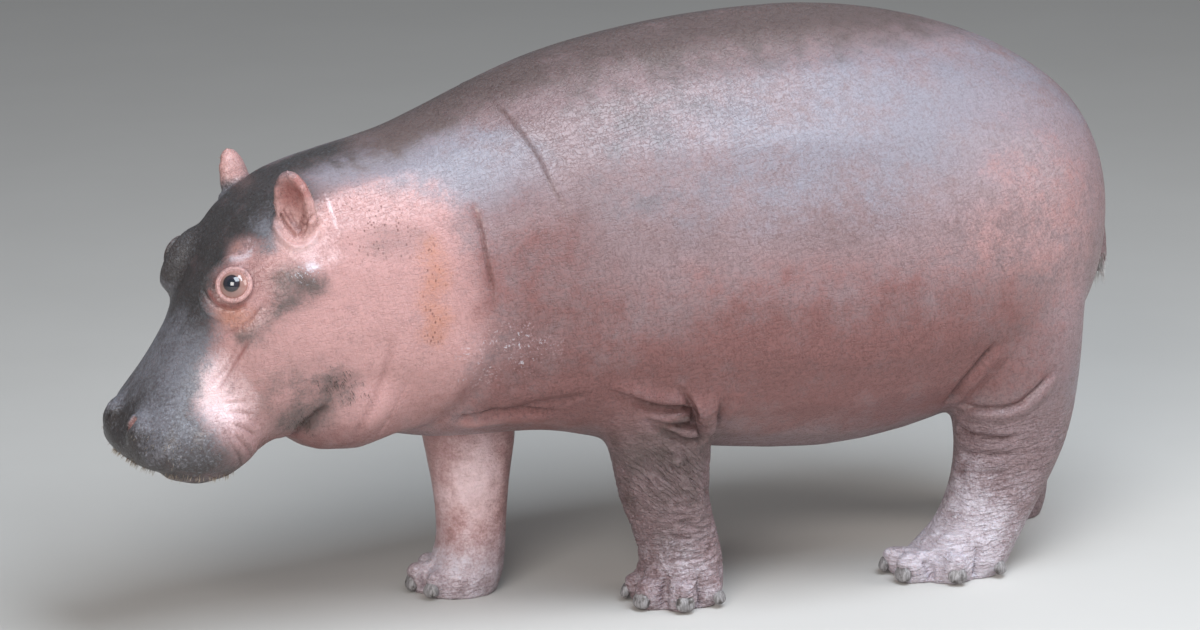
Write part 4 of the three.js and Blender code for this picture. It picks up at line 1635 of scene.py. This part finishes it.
PATCHES = [
    # back, flank and belly
    # painted sheen: the bluish sheen of the sky along the back, rump and upper neck
    Patch(Tint.BLOOM, (330, -160, 650), (400, 160, 112), 0.8, pitch=4, edge=0.95),
    Patch(Tint.BLOOM, (560, -150, 330), (80, 90, 120), 0.45, edge=0.95),
    Patch(Tint.BLOOM, (-320, -90, 640), (160, 90, 60), 0.9, pitch=-20),
    # painted shade: darker along the top of the back and over the shoulder and flank; the last patch rubs
    # it out behind the ear
    Patch(Tint.PAINTED_SHADE_AND_DARK_MARKS, (150, 0, 790), (600, 130, 50), 0.8, edge=0.9),
    Patch(Tint.PAINTED_SHADE_AND_DARK_MARKS, (-340, 0, 690), (220, 80, 50), 0.8, pitch=24),
    Patch(Tint.PAINTED_SHADE_AND_DARK_MARKS, (-60, -60, 740), (220, 120, 60), 0.4, edge=0.9),
    Patch(Tint.PAINTED_SHADE_AND_DARK_MARKS, (-90, -150, 600), (130, 90, 90), 0.22, edge=0.95),
    Patch(Tint.PAINTED_SHADE_AND_DARK_MARKS, (40, -150, 640), (230, 110, 100), 0.13, edge=0.97),
    Patch(Tint.PAINTED_SHADE_AND_DARK_MARKS, (-450, -70, 650), (70, 40, 24), -0.7, pitch=20, edge=0.9),
    # red-brown flank, belly, chest and rump, darkened partly as painted shade
    Patch(Tint.CLAY, (110, -240, 345), (280, 120, 112), 0.95, edge=0.97),
    Patch(Tint.CLAY, (340, -220, 330), (190, 120, 95), 0.7, edge=0.9),
    Patch(Tint.BLUSH_AND_PAINTED_LIGHT, (190, -190, 290), (220, 90, 36), 0.5, edge=0.95),
    Patch(Tint.CLAY, (-215, -165, 500), (90, 80, 120), 0.6, edge=0.8),
    Patch(Tint.CLAY, (-150, -120, 320), (120, 120, 80), 0.8),
    Patch(Tint.BLUSH_AND_PAINTED_LIGHT, (130, -240, 450), (300, 110, 100), 0.22, edge=0.95),
    Patch(Tint.BLUSH_AND_PAINTED_LIGHT, (520, -210, 500), (150, 120, 170), 0.36, edge=0.95),
    Patch(Tint.CLAY, (530, -200, 575), (150, 120, 110), 0.26, edge=0.95),
    Patch(Tint.PAINTED_SHADE_AND_DARK_MARKS, (-20, -130, 205), (100, 90, 115), 0.6, edge=0.8, mirrored=False),
    Patch(Tint.SLANT, (-5, -140, 195), (80, 90, 50), 1, edge=0.8),
    Patch(Tint.LEG, (-20, -140, 240), (90, 90, 60), 0.7, edge=0.8),
    # painted light: the far foreleg stands in the body's shade, and is made paler and pinker
    Patch(Tint.LEG, (-215, 80, 150), (80, 80, 180), -0.75, edge=0.4, mirrored=False),
    Patch(Tint.BLUSH_AND_PAINTED_LIGHT, (-215, 80, 180), (90, 80, 180), 1, edge=0.5, mirrored=False),
    Patch(Tint.PALE_AND_PAINTED_LIGHT, (-205, 60, 165), (40, 60, 80), 0.85, edge=0.9, mirrored=False),
    Patch(Tint.DUST_AND_SHEEN, (430, -150, 110), (90, 90, 70), 0.15, edge=0.9),
    # cheeks and neck
    Patch(Tint.BLUSH_AND_PAINTED_LIGHT, (-500, -120, 430), (180, 140, 170), 0.95),
    Patch(Tint.BLUSH_AND_PAINTED_LIGHT, (-370, -140, 420), (100, 100, 180), 0.8),
    Patch(Tint.BLUSH_AND_PAINTED_LIGHT, (-420, -120, 550), (80, 60, 70), 0.9),
    # red-brown under the jaw, partly painted shade
    Patch(Tint.CLAY, (-480, -60, 285), (110, 100, 34), 0.7),
    Patch(Tint.PALE_AND_PAINTED_LIGHT, (-500, -130, 545), (35, 40, 20), 0.42),
    Patch(Tint.PALE_AND_PAINTED_LIGHT, (-638, -90, 358), (36, 34, 48), 0.85, edge=0.9),
    Patch(Tint.PALE_AND_PAINTED_LIGHT, (-643, -80, 390), (20, 24, 26), 0.5, edge=0.9),
    Patch(Tint.PALE_AND_PAINTED_LIGHT, (-604, -103, 350), (28, 30, 26), 0.3),
    Patch(Tint.LID_PINK_AND_PAINTED_LIGHT, (-612, -100, 362), (44, 36, 44), 0.28, edge=0.95),
    Patch(Tint.DUST_AND_SHEEN, (-655, -74, 385), (22, 22, 28), 0.45, edge=0.9),
    # dark crown, brow, snout and muzzle, with painted sheen on them
    Patch(Tint.SLATE, (-625, 0, 500), (165, 74, 100), 1, pitch=59, edge=0.3),
    Patch(Tint.SLATE, (-515, 0, 630), (100, 84, 55), 1, pitch=30),
    Patch(Tint.SLATE, (-575, -62, 580), (50, 46, 50), 0.95),
    Patch(Tint.SLATE, (-640, 98, 520), (60, 55, 60), 0.95, mirrored=False),
    Patch(Tint.SLATE, (-720, 0, 345), (115, 104, 75), 1, pitch=59, edge=0.35),
    Patch(Tint.SLATE, (-680, -50, 275), (90, 90, 56), 0.9, edge=0.4),
    Patch(Tint.SLATE, (-690, -80, 305), (45, 60, 45), 0.8, edge=0.5),
    Patch(Tint.SLATE, (-588, -80, 546), (26, 30, 18), -0.8, edge=0.8, mirrored=False),
    Patch(Tint.SLATE, (-468, -66, 648), (50, 40, 28), -0.85, edge=0.9),
    # painted sheen behind the ear and on the dark snout, brow and muzzle
    Patch(Tint.BLOOM, (-450, -72, 648), (90, 50, 34), 1, edge=0.8),
    Patch(Tint.PAINTED_SLATE_SHEEN, (-660, -68, 415), (30, 30, 66), 0.75, pitch=-30, edge=0.9),
    Patch(Tint.PAINTED_SLATE_SHEEN, (-682, -24, 400), (44, 60, 60), 0.7, edge=0.9),
    Patch(Tint.PAINTED_SLATE_SHEEN, (-548, -82, 572), (26, 30, 30), 0.7, edge=0.9),
    Patch(Tint.PAINTED_SLATE_SHEEN, (-722, -60, 335), (24, 30, 16), 0.9, edge=0.9),
    Patch(Tint.PAINTED_SLATE_SHEEN, (-685, -95, 315), (60, 40, 40), 0.58, edge=0.9),
    # dark marks on the cheek
    Patch(Tint.PAINTED_SHADE_AND_DARK_MARKS, (-530, -130, 508), (32, 28, 24), 0.85, edge=0.9),
    Patch(Tint.PAINTED_SHADE_AND_DARK_MARKS, (-480, -131, 362), (42, 34, 36), 0.5, edge=0.95),
    Patch(Tint.PAINTED_SHADE_AND_DARK_MARKS, (-515, -100, 322), (36, 50, 26), 0.85, edge=0.8),
    Patch(Tint.PAINTED_SHADE_AND_DARK_MARKS, (-395, -132, 548), (44, 34, 20), 0.55, edge=0.9),
    Patch(Tint.PAINTED_SHADE_AND_DARK_MARKS, (-575, -90, 330), (60, 60, 50), 0.35, edge=0.95),
    Patch(Tint.PAINTED_SHADE_AND_DARK_MARKS, (-560, -110, 400), (70, 50, 60), 0.22, edge=0.95),
    Patch(Tint.CLAY, (-310, -120, 320), (80, 80, 60), 0.5, edge=0.9),
    # pores, and painted wet glints
    Patch(Tint.PORES, (-420, -115, 570), (60, 50, 50), 1),
    Patch(Tint.PAINTED_GLINTS, (-240, -167, 400), (50, 30, 34), 1),
    Patch(Tint.PAINTED_GLINTS, (-290, -150, 380), (30, 30, 40), 0.8),
    Patch(Tint.PAINTED_GLINTS, (-690, -70, 300), (70, 70, 50), 0.3),
    # painted white highlight on the wart
    Patch(Tint.DUST_AND_SHEEN, (-512, -131, 528), (9, 10, 6), 0.9, edge=0.9),
    Patch(Tint.PAINTED_GLINTS, (-524, -130, 520), (18, 14, 12), 1),
    Patch(Tint.OCHRE, (-593, -64, 546), (22, 16, 10), 0.6, edge=0.9, mirrored=False),
    Patch(Tint.OCHRE, (-563, -117, 518), (15, 14, 9), 0.45, edge=0.9),
    Patch(Tint.OCHRE, (-610, -103, 464), (26, 20, 16), 0.88, edge=0.9),
    Patch(Tint.RAW, (-600, -104, 470), (34, 24, 12), 0.3, edge=0.9),
    # ears
    # the near ear's hollow: dark red with painted shade in it
    Patch(Tint.RAW, (-524, -106, 628), (24, 20, 26), 0.6, edge=0.8, mirrored=False),
    Patch(Tint.PAINTED_CREASE_SHADE, (-522, -102, 630), (13, 14, 16), 0.35, edge=0.9, mirrored=False),
    Patch(Tint.PAINTED_CREASE_SHADE, (-510, -110, 596), (6, 8, 10), 0.6, edge=0.9, mirrored=False),
    Patch(Tint.PAINTED_CREASE_SHADE, (-523, -105, 573), (5, 8, 9), 0.7, edge=0.9, mirrored=False),
    # painted light: the far ear faces away from the lights and is made a brighter pink
    Patch(Tint.LID_PINK_AND_PAINTED_LIGHT, (-534, 101, 637), (30, 34, 44), 0.95, edge=0.5, mirrored=False),
    Patch(Tint.LID_PINK_AND_PAINTED_LIGHT, (-522, -112, 598), (38, 26, 52), 0.9, edge=0.5, mirrored=False),
    # feet: pale dust with a painted bluish sheen
    Patch(Tint.DUST_AND_SHEEN, (-10, -120, 10), (120, 110, 90), 0.42, edge=0.95),
    Patch(Tint.DUST_AND_SHEEN, (-215, 84, 20), (90, 80, 80), 0.7, edge=0.95, mirrored=False),
    Patch(Tint.DUST_AND_SHEEN, (390, -140, 10), (150, 110, 110), 0.95, edge=0.95),
]

STRIPES = [
    # painted light rim round the nostril
    Stripe(Tint.DUST_AND_SHEEN, ((-721, -36, 338), (-714, -50, 334), (-713, -56, 322)), 4, 0.6),
    # painted shade along the neck fold
    Stripe(
        Tint.CLAY,
        NECK_FOLD,
        10, 0.5, mirrored=False,
    ),
    # dark red along the folds round the eye, partly painted fold shade
    Stripe(
        Tint.RAW,
        ((-640, -83, 505), (-639, -90, 495), (-633, -97, 484), (-612, -105, 478), (-591, -109, 481)),
        4, 0.45,
    ),
    Stripe(Tint.RAW, ((-610, -94, 528), (-601, -96, 532), (-593, -101, 526), (-585, -105, 517)), 3.5, 0.3),
    # painted bluish-white highlight above the eye
    Stripe(Tint.DUST_AND_SHEEN, ((-606, -72, 536), (-597, -82, 539), (-583, -86, 543), (-568, -90, 560)), 7, 0.5),
    # painted shade lines in the ear's hollow
    Stripe(Tint.PAINTED_CREASE_SHADE, ((-542, -93, 597), (-534, -96, 581), (-528, -105, 571)), 1.8, 1),
    Stripe(Tint.PAINTED_CREASE_SHADE, ((-538, -96, 601), (-531, -95, 587), (-525, -104, 574)), 1.8, 1),
    Stripe(Tint.PAINTED_CREASE_SHADE, ((-528, -94, 596), (-523, -97, 585), (-523, -105, 573)), 1.6, 0.8),
    Stripe(Tint.PAINTED_CREASE_SHADE, ((-510, -112, 596), (-514, -103, 582), (-523, -107, 569)), 1.8, 1),
    Stripe(Tint.PAINTED_CREASE_SHADE, ((-510, -122, 589), (-512, -107, 577), (-521, -109, 568)), 1.8, 1),
    # painted light thrown up from the floor onto the underside of the chest
    Stripe(
        Tint.BLUSH_AND_PAINTED_LIGHT,
        ((-310, -98, 284), (-267, -108, 288), (-232, -116, 291), (-183, -118, 283), (-110, -98, 255)),
        9, 0.8,
    ),
    # painted shade in dark red along the cheek fold
    Stripe(Tint.RAW, CHEEK_FOLD, 4, 0.35),
    Stripe(Tint.LID_PINK_AND_PAINTED_LIGHT, NOSTRIL, 5.2, 0.7, mirrored=False),
    # painted shade in the nostril slit
    Stripe(Tint.PAINTED_CREASE_SHADE, ((-733, -32, 313), (-731, -39, 321), (-724, -43, 331)), 1.5, 1),
    Stripe(
        Tint.OCHRE,
        ((-370, -133, 560), (-349, -151, 511), (-356, -154, 473), (-350, -158, 446), (-362, -155, 400)),
        24, 0.62,
    ),
    Stripe(
        Tint.PORES,
        ((-370, -133, 560), (-349, -151, 511), (-356, -154, 473), (-350, -158, 446), (-362, -155, 390)),
        18, 1,
    ),
    Stripe(
        Tint.PAINTED_SHADE_AND_DARK_MARKS,
        ((-535, -129, 500), (-543, -130, 487), (-569, -124, 468), (-592, -113, 448), (-612, -100, 430)),
        15, 0.7,
    ),
    Stripe(
        Tint.PALE_AND_PAINTED_LIGHT,
        ((-476, -79, 615), (-474, -99, 596), (-471, -117, 572), (-463, -124, 556)), 3.6, 0.42,
    ),
    Stripe(
        Tint.PALE_AND_PAINTED_LIGHT,
        EAR_BASE,
        5, 0.7,
    ),
]

WHISKERS = [
    Tuft(
        ((-728, -12, 268), (-715, -55, 258), (-682, -87, 256), (-640, -97, 252), (-612, -88, 248)),
        130, 9, 5, 9, 0.9, (-0.5, -0.4, -0.8),
    ),
    Tuft(((-712, -78, 300), (-680, -98, 300)), 45, 32, 4, 7, 0.7, (-0.4, -0.5, -0.7)),
]
CHEEK_HAIRS = [
    Tuft(((-500, -132, 372), (-462, -134, 360)), 60, 26, 6, 11, 0.8, (0.15, -0.5, -0.9), 0.35),
    Tuft(((-517, -111, 330), (-519, -91, 312)), 30, 18, 6, 10, 0.8, (0.15, -0.5, -0.9), 0.35),
]
EAR_HAIRS = [
    Tuft(((-541, -98, 625), (-543, -92, 604), (-540, -92, 582)), 30, 3, 3, 6, 0.6, (-0.5, -0.5, 0.7)),
    Tuft(((-498, -116, 578), (-502, -122, 607), (-513, -121, 630)), 30, 3, 3, 6, 0.6, (0.6, -0.4, 0.6)),
]
TAIL_HAIRS = [
    Tuft(((722, -4, 395), (722, 0, 380), (722, 4, 370)), 60, 9, 14, 26, 1.2, (0.1, 0.0, -1.0), 0.2, False),
]
BRISTLES = [
    ("whiskers", (0.160, 0.120, 0.090), (0.400, 0.340, 0.270), WHISKERS),
    ("cheek_bristles", (0.040, 0.028, 0.024), (0.110, 0.075, 0.060), CHEEK_HAIRS),
    ("ear_fringe", (0.260, 0.150, 0.120), (0.420, 0.280, 0.220), EAR_HAIRS),
    ("tail_tuft", (0.250, 0.210, 0.195), (0.620, 0.590, 0.570), TAIL_HAIRS),
]


def main() -> None:
    """Builds the calf and its studio, one piece after the other."""
    logging.basicConfig(level=logging.INFO, format="%(name)s: %(message)s")
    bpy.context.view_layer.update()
    skin = Skin().build()
    for side in SIDES:
        LOG.info("built %s", Eye(side).build().name)
    Nails().build()
    LOG.info("built the nails")
    surface = Clay(skin).surface()
    for name, root, tip, tufts in BRISTLES:
        piece = Bristles(name, BristleFinish(name + "_hair", root, tip), tufts).build(surface)
        LOG.info("built %s: %d faces", name, len(piece.data.polygons))
    Studio().build()
    LOG.info("built the studio; the skin is %s", skin.name)


if __name__ == "__main__":
    main()
